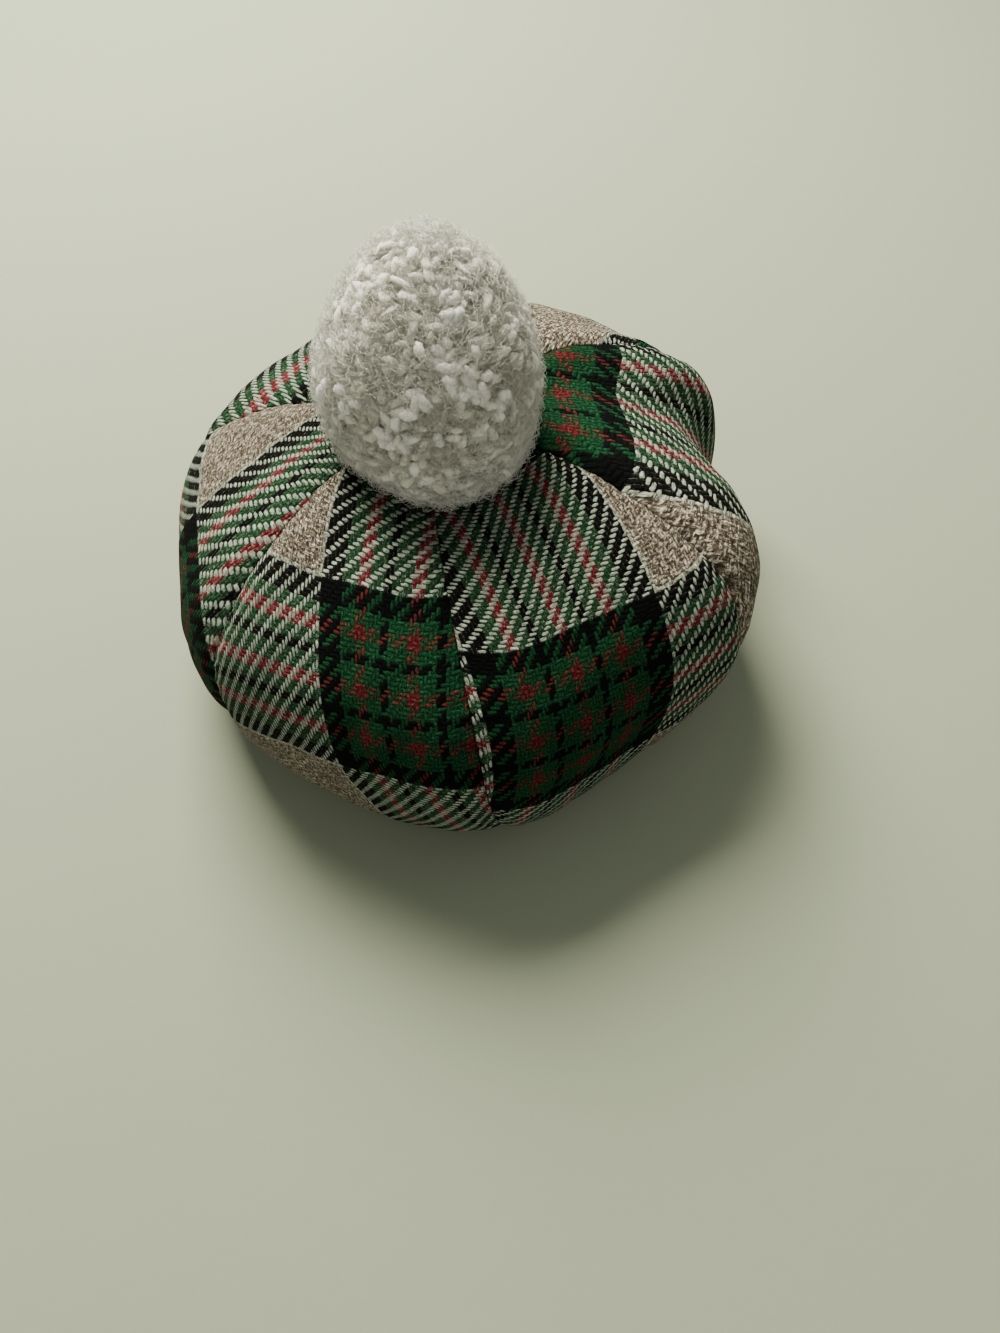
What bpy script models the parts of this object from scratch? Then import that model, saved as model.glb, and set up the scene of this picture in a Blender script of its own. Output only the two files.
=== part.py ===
"""Gored wool tartan tam with a yarn pompom.

Six pointed gores of twill meet at a hub on top of the crown and curl under the rim to a round head
opening, which a plain band finishes.  The photographed back of the hat faces -Y, the wearer's front
faces +Y, and the hat rests on z = 0 with its underside pressed flat.
"""

import math
import random

import bmesh
import bpy
import numpy as np
from mathutils import Matrix, Vector

# Cloth crown, in metres
CROWN_REACH = 0.135          # from the rim's middle to the crown's widest edge
CROWN_HEIGHT = 0.112         # from the surface below to the top of the cloth
HUB_HEIGHT = 0.098           # where the gores' points meet, in a shallow dip
HUB_HOLE = 0.004             # radius left open between the gores' points, under the pompom
HUB_SLOUCH = (-0.013, 0.042)   # how far the hub sits from the rim's middle, with the slack at the back
OPENING_RADIUS = 0.090       # for a head of 57 cm
OPENING_SHIFT = 0.010        # the opening sits this far towards the wearer's front
CLOTH_THICKNESS = 0.0024
SEAM_GAP = 0.0003
SEAM_DEPTH = 0.0020          # how far each seam pulls the cloth in
SEAM_WIDTH = 0.0065          # from the seam to where its groove has mostly gone
FOLD_DEPTH = 0.008           # the deepest dent in the slack cloth
CALM_SHARE = 0.18            # seams and dents fade out over this last share of the way to the opening

# Head band
BAND_HEIGHT = 0.025
BAND_THICKNESS = 0.0024
BAND_CLEARANCE = 0.0004      # between the band and the gores' lower ends

# Pompom
POMPOM_WIDTH = 0.102
POMPOM_HEIGHT = 0.122        # along its own leaning axis, before the crown flattens its underside
POMPOM_LEAN = 32.0           # degrees towards the wearer's front
POMPOM_SINK = 0.007          # how far the yarn is pressed flat against the crown
POMPOM_FLOP = (0.0025, -0.0285)   # from the hub to the middle of the yarn
POMPOM_NARROWING = 0.16      # how much slimmer the top is than the middle, as a share
POMPOM_CLEARANCE = 0.0004
LOCK_LENGTH = 0.0075
SEAT_MARGIN = 0.003          # the yarn clears the highest cloth within this reach of it

# Mesh steps
GORE_ACROSS = 10
GORE_ALONG = 29
BAND_ROUND = 60
LOCK_ROUNDS = 4
LOWEST_LOCK = -0.6           # faces that look down more steeply than this carry no lock
SEED = 7

# Round the hat from the back seam, a row for each seam and each gore's middle: azimuth and turn in
# degrees, then the reach as a share of CROWN_REACH, rim and crest as shares of CROWN_HEIGHT.
# The turn is how far the lower end of the cloth swings round from its azimuth.
STATION_COLUMNS = ("azimuth", "turn", "reach", "rim", "crest")
STATIONS = (
    (-7, 13, 1.05, 0.32, 1.00),
    (27, 4, 0.97, 0.26, 1.02),
    (58, -1, 1.01, 0.37, 1.05),
    (101, -5, 0.945, 0.16, 1.00),
    (128, -13, 1.04, 0.34, 1.04),
    (157, -4, 0.95, 0.22, 1.03),
    (188, 0, 1.00, 0.30, 1.00),
    (220, 1, 0.94, 0.28, 1.02),
    (256, -6, 0.955, 0.28, 1.01),
    (280, 2, 0.96, 0.27, 1.02),
    (307, 1, 0.99, 0.32, 1.06),
    (332, 4, 1.00, 0.26, 1.03),
)

# Rings of control points from the hub to the opening.  The radius adds shares of HUB_HOLE, the local
# reach and OPENING_RADIUS; the height adds shares of HUB_HEIGHT, the local crest and the local rim;
# the last three columns say how much of the slouch, the opening's shift and the turn a ring takes.
RING_COLUMNS = ("hole", "reach", "opening", "hub", "crest", "rim", "slouch", "shift", "turn")
RINGS = (
    (1, 0.00, 0, 1, 0.00, 0.00, 1.00, 0.0, 0.0),
    (1, 0.13, 0, 1, 0.01, 0.00, 0.87, 0.0, 0.0),
    (0, 0.35, 0, 0, 1.02, 0.00, 0.65, 0.0, 0.1),
    (0, 0.66, 0, 0, 1.02, 0.00, 0.34, 0.0, 0.3),
    (0, 1.00, 0, 0, 0.82, 0.22, 0.06, 0.0, 0.5),
    (0, 1.13, 0, 0, 0.38, 0.52, 0.00, 0.0, 0.6),
    (0, 1.07, 0, 0, 0.02, 0.55, 0.00, 0.0, 0.8),
    (0, 0.95, 0, 0, 0.00, -0.14, 0.00, 0.2, 0.9),
    (0, 0.80, 0, 0, 0.00, -0.12, 0.00, 0.6, 1.0),
    (0, 0.00, 1, 0, 0.00, -0.02, 0.00, 1.0, 1.0),
)

# Dents and swellings of the slack cloth: the middle in gores round from the back seam and as a share
# of the way from hub to opening, half-widths in the same units, depth as a share of FOLD_DEPTH
# (below zero it swells).
FOLD_COLUMNS = ("gore", "along", "half_across", "half_along", "depth")
FOLDS = (
    (1.52, 0.52, 0.17, 0.16, 0.95),
    (1.22, 0.50, 0.14, 0.10, -0.35),
    (1.80, 0.46, 0.12, 0.10, -0.40),
    (2.16, 0.47, 0.12, 0.14, 0.80),
    (2.55, 0.44, 0.20, 0.09, -0.30),
    (3.45, 0.47, 0.20, 0.12, 0.45),
    (4.45, 0.54, 0.24, 0.07, 0.40),
    (4.60, 0.66, 0.25, 0.06, -0.35),
    (5.50, 0.60, 0.28, 0.07, 0.30),
    (0.50, 0.61, 0.26, 0.07, 0.35),
    (0.30, 0.30, 0.16, 0.08, 0.25),
    (5.30, 0.32, 0.16, 0.08, 0.25),
)

GORE_COUNT = len(STATIONS) // 2
GORE_GREEN = (0.030, 0.105, 0.058, 1.0)
BAND_GREEN = (0.022, 0.075, 0.044, 1.0)
YARN_CREAM = (0.560, 0.530, 0.470, 1.0)


def columns(table, names):
    """Each named column of a table as an array."""
    return dict(zip(names, np.array(table, dtype=float).T))


STATION = columns(STATIONS, STATION_COLUMNS)
RING = columns(RINGS, RING_COLUMNS)
FOLD = columns(FOLDS, FOLD_COLUMNS)


def round_curve(values, gore):
    """Closed cubic through one value for each station (Catmull-Rom), read at gores from the back."""
    place = np.asarray(gore) * 2
    first = np.floor(place).astype(int)
    part = place - first
    before, near, far, after = (values[(first + step) % len(values)] for step in (-1, 0, 1, 2))
    return near + 0.5 * part * (far - before + part * (
        2 * before - 5 * near + 4 * far - after + part * (3 * (near - far) + after - before)))


def spline_weights(along, count):
    """Weights of each control ring along a cubic B-spline that starts and ends on its end rings."""
    knots = np.concatenate([np.zeros(3), np.linspace(0, 1, count - 2), np.ones(3)])
    along = np.clip(along, 0, 1 - 1e-9)
    weights = [((knots[i] <= along) & (along < knots[i + 1])).astype(float) for i in range(count + 3)]
    for degree in (1, 2, 3):
        for i in range(count + 3 - degree):
            rise = knots[i + degree] - knots[i]
            fall = knots[i + degree + 1] - knots[i + 1]
            lower = (along - knots[i]) / rise * weights[i] if rise > 0 else 0
            upper = (knots[i + degree + 1] - along) / fall * weights[i + 1] if fall > 0 else 0
            weights[i] = lower + upper
    return np.stack(weights[:count])


def smooth_surface(gore, along):
    """Outer face without seams or dents: the control rings blended along the B-spline."""
    even_turn = 360 / len(STATIONS)
    uneven = STATION["azimuth"] - even_turn * np.arange(len(STATIONS))
    azimuth = even_turn * 2 * gore + round_curve(uneven, gore)
    turn, reach, rim, crest = (round_curve(STATION[name], gore) for name in STATION_COLUMNS[1:])
    weights = spline_weights(along, len(RINGS))
    points = np.zeros(np.shape(gore) + (3,))
    for i, weight in enumerate(weights):
        ring = {name: RING[name][i] for name in RING_COLUMNS}
        radius = (ring["hole"] * HUB_HOLE + ring["reach"] * reach * CROWN_REACH
                  + ring["opening"] * OPENING_RADIUS)
        height = ring["hub"] * HUB_HEIGHT + (ring["crest"] * crest + ring["rim"] * rim) * CROWN_HEIGHT
        angle = np.radians(azimuth + ring["turn"] * turn)
        middle_x = ring["slouch"] * HUB_SLOUCH[0]
        middle_y = ring["slouch"] * HUB_SLOUCH[1] + ring["shift"] * OPENING_SHIFT
        points[..., 0] += weight * (middle_x + radius * np.sin(angle))
        points[..., 1] += weight * (middle_y - radius * np.cos(angle))
        points[..., 2] += weight * height
    return points


def rates(surface, gore, along):
    """How a surface point moves for one gore round and for one full way along."""
    step_round, step_along = 0.01, 0.004
    round_rate = (surface(gore + step_round, along) - surface(gore - step_round, along)) / (2 * step_round)
    after, before = np.minimum(along + step_along, 1), np.maximum(along - step_along, 0)
    along_rate = (surface(gore, after) - surface(gore, before)) / (after - before)[..., None]
    return round_rate, along_rate


def outward(surface, gore, along):
    """Unit normal of a surface, pointing out of the hat."""
    round_rate, along_rate = rates(surface, gore, along)
    normal = np.cross(along_rate, round_rate)
    return normal / np.linalg.norm(normal, axis=-1, keepdims=True)


def pulled_in(gore, along):
    """How far the cloth lies inside the smooth form, at seams and dents."""
    round_rate = rates(smooth_surface, gore, along)[0]
    off_seam = np.abs(gore - np.round(gore)) * np.linalg.norm(round_rate, axis=-1)
    depth = SEAM_DEPTH * np.exp(-(off_seam / SEAM_WIDTH) ** 2)
    for i in range(len(FOLDS)):
        across = (gore - FOLD["gore"][i] + GORE_COUNT / 2) % GORE_COUNT - GORE_COUNT / 2
        near = (across / FOLD["half_across"][i]) ** 2 + ((along - FOLD["along"][i]) / FOLD["half_along"][i]) ** 2
        depth = depth + FOLD_DEPTH * FOLD["depth"][i] * np.exp(-near)
    return depth * np.clip((1 - along) / CALM_SHARE, 0, 1) ** 2


def cloth_surface(gore, along):
    """Outer face of the cloth: the smooth form pulled in at seams and dents, flat where it rests."""
    points = smooth_surface(gore, along)
    points = points - outward(smooth_surface, gore, along) * pulled_in(gore, along)[..., None]
    points[..., 2] = np.maximum(points[..., 2], 0)
    return points


def new_object(name, mesh_tool, material):
    """Turns a bmesh into a smooth-shaded object with its material."""
    mesh = bpy.data.meshes.new(name)
    mesh_tool.to_mesh(mesh)
    mesh_tool.free()
    mesh.materials.append(material)
    mesh.shade_smooth()
    made = bpy.data.objects.new(name, mesh)
    bpy.context.scene.collection.objects.link(made)
    return made


def matt_material(name, colour, roughness):
    """Principled material of a matt cloth or yarn."""
    material = bpy.data.materials.new(name)
    material.use_nodes = True
    shader = material.node_tree.nodes["Principled BSDF"]
    shader.inputs["Base Color"].default_value = colour
    shader.inputs["Roughness"].default_value = roughness
    shader.inputs["Metallic"].default_value = 0.0
    material.diffuse_color = colour
    return material


def gore_steps():
    """Mesh lines across a gore as shares of its width, closer together towards its two seams."""
    even = np.linspace(0, 1, GORE_ACROSS + 1)
    return (even + (1 - np.cos(math.pi * even)) / 2) / 2


def make_gore(index):
    """One gore: a flat slab of cloth is mapped onto the hat, outer face first and inner face below."""
    across, along = np.meshgrid(gore_steps(), np.linspace(0, 1, GORE_ALONG + 1), indexing="ij")
    gore = index + across
    round_rate = np.linalg.norm(rates(cloth_surface, gore, along)[0], axis=-1)
    gore = gore + SEAM_GAP / 2 * (1 - 2 * across) / round_rate
    outer = cloth_surface(gore, along)
    inner = outer - outward(cloth_surface, gore, along) * CLOTH_THICKNESS

    slab = bmesh.new()
    bmesh.ops.create_grid(slab, x_segments=GORE_ALONG, y_segments=GORE_ACROSS, size=1.0)
    lowered = bmesh.ops.extrude_face_region(slab, geom=slab.faces[:])["geom"]
    for vertex in lowered:
        if isinstance(vertex, bmesh.types.BMVert):
            vertex.co.z = -1
    bmesh.ops.recalc_face_normals(slab, faces=slab.faces[:])
    for vertex in slab.verts:
        i = round((vertex.co.y + 1) / 2 * GORE_ACROSS)
        j = round((vertex.co.x + 1) / 2 * GORE_ALONG)
        vertex.co = outer[i, j] if vertex.co.z == 0 else inner[i, j]
    name = f"gore_{index + 1}"
    return new_object(name, slab, matt_material(name + "_wool_twill", GORE_GREEN, 0.92))


def make_head_band():
    """Plain ring of doubled cloth turned up inside the opening, with a rounded top edge."""
    widest_step = np.diff(gore_steps()).max() * 2 * math.pi / GORE_COUNT
    outside = OPENING_RADIUS * math.cos(widest_step * 0.6) - BAND_CLEARANCE
    inside = outside - BAND_THICKNESS
    middle = (outside + inside) / 2
    shoulder = BAND_HEIGHT - BAND_THICKNESS / 2
    profile = ((outside, 0), (outside, shoulder), (middle, BAND_HEIGHT), (inside, shoulder), (inside, 0))
    ring = bmesh.new()
    corners = [ring.verts.new((radius, 0, height)) for radius, height in profile]
    section = ring.faces.new(corners)
    bmesh.ops.spin(ring, geom=[section, *section.edges, *section.verts], axis=(0, 0, 1), cent=(0, 0, 0),
                   steps=BAND_ROUND, angle=2 * math.pi, use_merge=True)
    bmesh.ops.remove_doubles(ring, verts=ring.verts[:], dist=1e-6)
    ends = [face for face in ring.faces if len(face.verts) == len(profile)]
    bmesh.ops.delete(ring, geom=ends, context="FACES_ONLY")
    bmesh.ops.translate(ring, verts=ring.verts[:], vec=(0, OPENING_SHIFT, 0))
    bmesh.ops.recalc_face_normals(ring, faces=ring.faces[:])
    return new_object("head_band", ring, matt_material("head_band_wool_twill", BAND_GREEN, 0.92))


def crown_points():
    """Many points of the crown's outer face, to seat the pompom on."""
    gore, along = np.meshgrid(np.linspace(0, GORE_COUNT, 241), np.linspace(0, 0.6, 121), indexing="ij")
    return cloth_surface(gore, along).reshape(-1, 3)


def seat_height(crown, place):
    """Top of the crown within SEAT_MARGIN of a place, seen from above."""
    near = np.hypot(crown[:, 0] - place.x, crown[:, 1] - place.y) < SEAT_MARGIN
    return crown[near, 2].max() if near.any() else -math.inf


def make_pompom():
    """Egg-shaped ball of yarn, flattened on the crown, with a raised lock on each free face."""
    crown = crown_points()
    middle = Vector((HUB_SLOUCH[0] + POMPOM_FLOP[0], HUB_SLOUCH[1] + POMPOM_FLOP[1], 0))
    half_width = POMPOM_WIDTH / 2 - LOCK_LENGTH / 2
    half_height = POMPOM_HEIGHT / 2 - LOCK_LENGTH / 2
    lean = math.radians(-POMPOM_LEAN)
    lowest = POMPOM_HEIGHT / 2 * math.cos(lean)
    middle.z = seat_height(crown, middle) + lowest - POMPOM_SINK

    ball = bmesh.new()
    bmesh.ops.create_icosphere(ball, subdivisions=LOCK_ROUNDS, radius=1.0)
    for vertex in ball.verts:
        slim = 1 - POMPOM_NARROWING * max(vertex.co.z, 0)
        vertex.co = (vertex.co.x * half_width * slim, vertex.co.y * half_width * slim,
                     vertex.co.z * half_height)
    bmesh.ops.transform(ball, matrix=Matrix.Translation(middle) @ Matrix.Rotation(lean, 4, "X"),
                        verts=ball.verts[:])
    for vertex in ball.verts:
        if vertex.co.z < middle.z:
            floor = seat_height(crown, vertex.co) + POMPOM_CLEARANCE
            vertex.co.z = max(vertex.co.z, floor)

    ball.normal_update()
    free = []
    for face in ball.faces:
        centre = face.calc_center_median()
        if face.normal.z > LOWEST_LOCK and centre.z > seat_height(crown, centre) + LOCK_LENGTH:
            free.append(face)
    chance = random.Random(SEED)
    tips = bmesh.ops.poke(ball, faces=free)["verts"]
    ball.normal_update()
    for tip in tips:
        side = Vector((chance.uniform(-1, 1), chance.uniform(-1, 1), chance.uniform(-1, 0.4)))
        tip.co += tip.normal * LOCK_LENGTH * chance.uniform(0.5, 1.0) + side * LOCK_LENGTH * 0.2
    return new_object("pompom", ball, matt_material("pompom_wool_yarn", YARN_CREAM, 0.95))


def centre_on_origin(made):
    """Moves every mesh so that the whole hat's box stands centred on the origin, on z = 0."""
    corners = np.array([vertex.co[:] for item in made for vertex in item.data.vertices])
    middle = (corners.min(axis=0) + corners.max(axis=0)) / 2
    shift = Matrix.Translation((-middle[0], -middle[1], -corners[:, 2].min()))
    for item in made:
        item.data.transform(shift)
        item.data.update()


def main():
    for old in list(bpy.data.objects):
        bpy.data.objects.remove(old, do_unlink=True)
    made = [make_gore(index) for index in range(GORE_COUNT)]
    made.append(make_head_band())
    made.append(make_pompom())
    centre_on_origin(made)


main()
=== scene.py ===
"""Looks of the gored wool tartan tam with a yarn pompom: woven cloth, plain head band, yarn, light.

Metres throughout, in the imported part's frame.  The photographed back of the hat faces -Y.
"""

import math

import bpy
import numpy as np
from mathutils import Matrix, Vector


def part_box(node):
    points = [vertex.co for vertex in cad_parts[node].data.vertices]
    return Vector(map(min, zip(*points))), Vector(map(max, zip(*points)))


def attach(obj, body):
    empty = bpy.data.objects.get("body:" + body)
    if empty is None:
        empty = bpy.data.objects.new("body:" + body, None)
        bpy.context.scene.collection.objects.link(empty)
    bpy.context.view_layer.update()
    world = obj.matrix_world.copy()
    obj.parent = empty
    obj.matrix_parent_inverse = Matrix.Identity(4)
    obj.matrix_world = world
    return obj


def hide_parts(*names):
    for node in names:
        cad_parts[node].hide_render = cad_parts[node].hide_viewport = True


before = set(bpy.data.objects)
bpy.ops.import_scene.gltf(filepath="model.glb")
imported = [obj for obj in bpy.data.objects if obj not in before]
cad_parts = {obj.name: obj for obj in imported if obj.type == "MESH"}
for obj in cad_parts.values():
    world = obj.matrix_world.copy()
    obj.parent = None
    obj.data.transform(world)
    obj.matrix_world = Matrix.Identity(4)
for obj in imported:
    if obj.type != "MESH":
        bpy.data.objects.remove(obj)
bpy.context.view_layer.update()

# Cloth crown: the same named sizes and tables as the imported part, in metres
CROWN_REACH = 0.135          # from the rim's middle to the crown's widest edge
CROWN_HEIGHT = 0.112         # from the surface below to the top of the cloth
HUB_HEIGHT = 0.098           # where the gores' points meet, in a shallow dip
HUB_HOLE = 0.0012            # gathered nearly shut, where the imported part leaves 4 mm
HUB_SLOUCH = (-0.013, 0.042)   # how far the hub sits from the rim's middle
OPENING_RADIUS = 0.090
OPENING_SHIFT = 0.010        # the opening sits this far towards the wearer's front
CLOTH_THICKNESS = 0.0024
SEAM_GAP = 0.0003            # between neighbouring gores
SEAM_DEPTH = 0.0020          # how far each seam pulls the cloth in
SEAM_WIDTH = 0.0065          # from the seam to where its groove has mostly gone
FOLD_DEPTH = 0.008           # the deepest dent in the slack cloth
CALM_SHARE = 0.18            # seams and dents fade out over this last share of the way to the opening

BAND_HEIGHT = 0.025
BAND_THICKNESS = 0.0024

POMPOM_WIDTH = 0.102
POMPOM_HEIGHT = 0.122        # along its own leaning axis, before the crown flattens its underside
POMPOM_LEAN = 32.0           # degrees towards the wearer's front
POMPOM_SINK = 0.007          # how far the yarn is pressed flat against the crown
POMPOM_FLOP = (0.0025, -0.0285)   # from the hub to the middle of the yarn
POMPOM_NARROWING = 0.16      # how much slimmer the top is than the middle, as a share
LOCK_LENGTH = 0.0075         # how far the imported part's locks stand out
SEAT_MARGIN = 0.003          # the yarn clears the highest cloth within this reach of it

# Round the hat from the back seam, a row for each seam and each gore's middle: azimuth and turn in
# degrees, then the reach as a share of CROWN_REACH, rim and crest as shares of CROWN_HEIGHT.
# The turn is how far the lower end of the cloth swings round from its azimuth.
STATION_COLUMNS = ("azimuth", "turn", "reach", "rim", "crest")
STATIONS = (
    (-7, 13, 1.05, 0.32, 1.00),
    (27, 4, 0.97, 0.26, 1.02),
    (58, -1, 1.01, 0.37, 1.05),
    (101, -5, 0.945, 0.16, 1.00),
    (128, -13, 1.04, 0.34, 1.04),
    (157, -4, 0.95, 0.22, 1.03),
    (188, 0, 1.00, 0.30, 1.00),
    (220, 1, 0.94, 0.28, 1.02),
    (256, -6, 0.955, 0.28, 1.01),
    (280, 2, 0.96, 0.27, 1.02),
    (307, 1, 0.99, 0.32, 1.06),
    (332, 4, 1.00, 0.26, 1.03),
)

# Rings of control points from the hub to the opening.  The radius adds shares of HUB_HOLE, the local
# reach and OPENING_RADIUS; the height adds shares of HUB_HEIGHT, the local crest and the local rim;
# the last three columns say how much of the slouch, the opening's shift and the turn a ring takes.
RING_COLUMNS = ("hole", "reach", "opening", "hub", "crest", "rim", "slouch", "shift", "turn")
RINGS = (
    (1, 0.00, 0, 1, 0.00, 0.00, 1.00, 0.0, 0.0),
    (1, 0.13, 0, 1, 0.01, 0.00, 0.87, 0.0, 0.0),
    (0, 0.35, 0, 0, 1.02, 0.00, 0.65, 0.0, 0.1),
    (0, 0.66, 0, 0, 1.02, 0.00, 0.34, 0.0, 0.3),
    (0, 1.00, 0, 0, 0.82, 0.22, 0.06, 0.0, 0.5),
    (0, 1.13, 0, 0, 0.38, 0.52, 0.00, 0.0, 0.6),
    (0, 1.07, 0, 0, 0.02, 0.55, 0.00, 0.0, 0.8),
    (0, 0.95, 0, 0, 0.00, -0.14, 0.00, 0.2, 0.9),
    (0, 0.80, 0, 0, 0.00, -0.12, 0.00, 0.6, 1.0),
    (0, 0.00, 1, 0, 0.00, -0.02, 0.00, 1.0, 1.0),
)

# Dents and swellings of the slack cloth: the middle in gores round from the back seam and as a share
# of the way from hub to opening, half-widths in the same units, depth as a share of FOLD_DEPTH
# (below zero it swells).
FOLD_COLUMNS = ("gore", "along", "half_across", "half_along", "depth")
FOLDS = (
    (1.52, 0.52, 0.17, 0.16, 0.95),
    (1.22, 0.50, 0.14, 0.10, -0.35),
    (1.80, 0.46, 0.12, 0.10, -0.40),
    (2.16, 0.47, 0.12, 0.14, 0.80),
    (2.55, 0.44, 0.20, 0.09, -0.30),
    (3.45, 0.47, 0.20, 0.12, 0.45),
    (4.45, 0.54, 0.24, 0.07, 0.40),
    (4.60, 0.66, 0.25, 0.06, -0.35),
    (5.50, 0.60, 0.28, 0.07, 0.30),
    (0.50, 0.61, 0.26, 0.07, 0.35),
    (0.30, 0.30, 0.16, 0.08, 0.25),
    (5.30, 0.32, 0.16, 0.08, 0.25),
)

GORE_COUNT = len(STATIONS) // 2

# Fine relief of the sewn wool, drawn only here
CREASE_DEPTH = 0.0009        # how sharply the cloth rolls in beside a seam
CREASE_WIDTH = 0.0014
PUCKER_DEPTH = 0.00035       # ripples that the stitching pulls along each seam
PUCKER_REACH = 0.008
PUCKER_SPACING = 0.0095
PUCKER_DRIFT = 0.021         # length of seam over which the ripples come closer and farther apart
PUCKER_SHIFT = 1.7           # by how many radians they do
PUCKER_START = 2.1           # radians between the starts of the ripples at one seam and the next
SLACK_DEPTH = 0.0006         # gentle unevenness of the slack cloth
SLACK_SPACING = 0.034
SLACK_WAYS = (               # way and start of each wave of it
    ((0.9, 0.3, 0.2), 0.4),
    ((-0.4, 0.8, 0.5), 2.0),
    ((0.2, -0.7, 0.9), 4.1),
    ((1.3, 0.9, -0.6), 5.0),
    ((-1.1, 1.2, 0.4), 1.1),
)
BAND_FOOT = 0.6              # how flat the surface below presses its lower edge, as a share of round
BAND_WAVE = 0.0004           # how far its upper edge wavers inwards
BAND_WAVES = 5

# Mesh steps: gores across and along in multiples of four, the band round, up a side and over its fold
GORE_ACROSS = 64
GORE_ALONG = 168
BAND_ROUND = 240
BAND_SIDE = 10
BAND_FOLD = 9

# Tartan: the order of its threads.  The warp lies closer together than the weft, so that the weft's
# sett has fewer threads for the same stripes.
WARP_PITCH = 0.0018
WEFT_PITCH = 0.0021
WARP_SETT = (
    ("black", 6), ("green", 4), ("red", 3), ("green", 4), ("black", 2), ("green", 5), ("red", 3),
    ("green", 4), ("black", 2), ("green", 4), ("red", 3), ("green", 4), ("black", 6),
    ("white", 1), ("oatmeal", 46), ("white", 1),
)
WEFT_SETT = (
    ("black", 5), ("green", 3), ("red", 3), ("green", 3), ("black", 2), ("green", 4), ("red", 3),
    ("green", 3), ("black", 2), ("green", 3), ("red", 3), ("green", 4), ("black", 5),
    ("white", 1), ("oatmeal", 39), ("white", 1),
)

# How each gore was laid on the tartan before it was cut: a thread's number is start + across * x +
# along * y + across2 * x^2 + both * x * y + along2 * y^2, where x is measured across the flat gore from
# its middle line and y along that line from LAY_MIDDLE below the hub, both in tenths of a metre.
LAY_MIDDLE = 0.12
# Columns: start, across, along, across2, both and along2
WARP_LAY = (
    (32.2, 58.8, 8.4, -12.1, -10.1, 2.1),
    (25.3, 46.2, -6.3, 7.5, -12.5, -12.5),
    (-20.0, 55.0, 0.0, 0.0, 0.0, 0.0),
    (-38.0, 55.0, 0.0, 0.0, 0.0, 0.0),
    (0.7, 55.9, 0.8, 5.0, -9.9, 23.5),
    (9.5, 57.4, -9.1, 3.7, 4.9, -7.9),
)
WEFT_LAY = (
    (-16.5, -6.9, 51.2, -12.8, -4.3, 2.6),
    (54.1, -2.8, 43.1, -22.2, 0.9, 4.7),
    (9.4, 0.0, 47.1, 0.0, 0.0, 0.0),
    (60.3, 0.0, 47.1, -33.9, 0.0, 0.0),
    (-3.9, -4.0, 47.1, -25.7, -11.5, -5.9),
    (-1.2, 9.8, 45.7, -19.5, 1.6, 9.3),
)

# Carded wool as it was dyed
WOOL_COLOURS = {
    "black": "#040505", "green": "#0E331D", "red": "#570D1B", "white": "#B1BFAE", "oatmeal": "#675D4F",
}
# How fine each yarn is, from 0 for the bulky black one, whose hairs spread round it, to 1
THIN_YARNS = {"black": 0.0, "green": 0.1, "red": 0.18, "white": 0.75, "oatmeal": 1.0}
BAND_GREEN = "#172C20"
# Marl of the oatmeal yarn: its dark, middle and light fibres by the tone of a noise from 0 to 1, and
# how far that noise runs for each thread crossed along a yarn, over its width, and from yarn to yarn
OATMEAL_FIBRES = ((0.44, "#3A322A"), (0.53, WOOL_COLOURS["oatmeal"]), (0.61, "#BFB6A6"))
MARL_ALONG = 0.65
MARL_ACROSS = 1.9
MARL_APART = 5.3

# Noises of the cloth on its map of thread numbers, where 1 is a thread of about 2 mm
WANDER_NOISE = {"Scale": 0.5, "Detail": 5.0, "Roughness": 0.8}
FIBRE_NOISE = {"Scale": 1.0, "Detail": 3.0, "Roughness": 0.7}
MARL_NOISE = {"Scale": 1.0, "Detail": 2.0, "Roughness": 0.7}
SPECK_NOISE = {"Scale": 0.55, "Detail": 2.0, "Roughness": 0.6}
PATCH_NOISE = {"Scale": 0.12, "Detail": 2.0}
WANDER_REACH = 1.2           # how far the yarns wander, in threads
WARP_FIBRES = (4.5, 1.1, 1.0)   # how close the fibres lie across and along the warp, for each thread
WEFT_FIBRES = (1.1, 4.5, 1.0)
SPECK_GRAIN = 4.0            # how much smaller the specks of a bulky yarn are
FIBRE_RELIEF = 0.8           # height of the fibres beside that of a float
CLOTH_RELIEF = 0.4           # height of a float, as a share of WARP_PITCH

# How the floats of yarn are drawn.  A float is a rounded bump from 0 at its edges to 1 on top, and its
# yarn covers the one below from the height that the edge's values give.
FLOAT_ENDS = 0.35            # height at its two ends
FLOAT_EDGE = (-0.05, 0.32)   # for a bulky yarn and for a fine one
FLOAT_EDGE_SOFT = 0.22       # further up, where the cover is full
EDGE_OVER_BLACK = 0.09       # added over bulky black yarn
EDGE_RED_OVER_DARK = 0.22    # added for red over dark yarn, whose hairs bury it
EDGE_OVER_RED = -0.24        # added over red, which breaks a red line into dashes
DARK_YARN = (0.3, 0.5)       # a yarn is dark below the first fineness and pale past the second
SAME_YARN = 0.03             # a yarn is red within this much of red's fineness
HAIRS = 0.9                  # how much of a yarn its neighbours' hairs cover where they are thickest
HAIR_SPAN = (0.45, 0.62)     # tones of the fibres' noise between which they thicken
OATEN_TO_WHITE = 0.7         # how much paler oatmeal yarn gets alone on dark yarn
UNDER_BULK = 2.2             # how much more of them a bulky yarn sends up through a fine one
UNDER_BULK_LEAST = 0.02
CLOTH_SHADE = (0.52, 1.12)   # painted shade in the gaps between floats, and painted light on top of them
CLOTH_SHADE_HEIGHT = 0.6     # height on a float where its painted shade ends
CLOTH_SHADE_FINE = 0.12      # how much lighter the painted shade in the gaps beside a fine yarn is
FIBRE_SPAN = (0.32, 0.68)    # tones of the fibres' noise for the darkest and lightest fibres
FIBRE_TONES = (0.5, 1.55)
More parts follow.
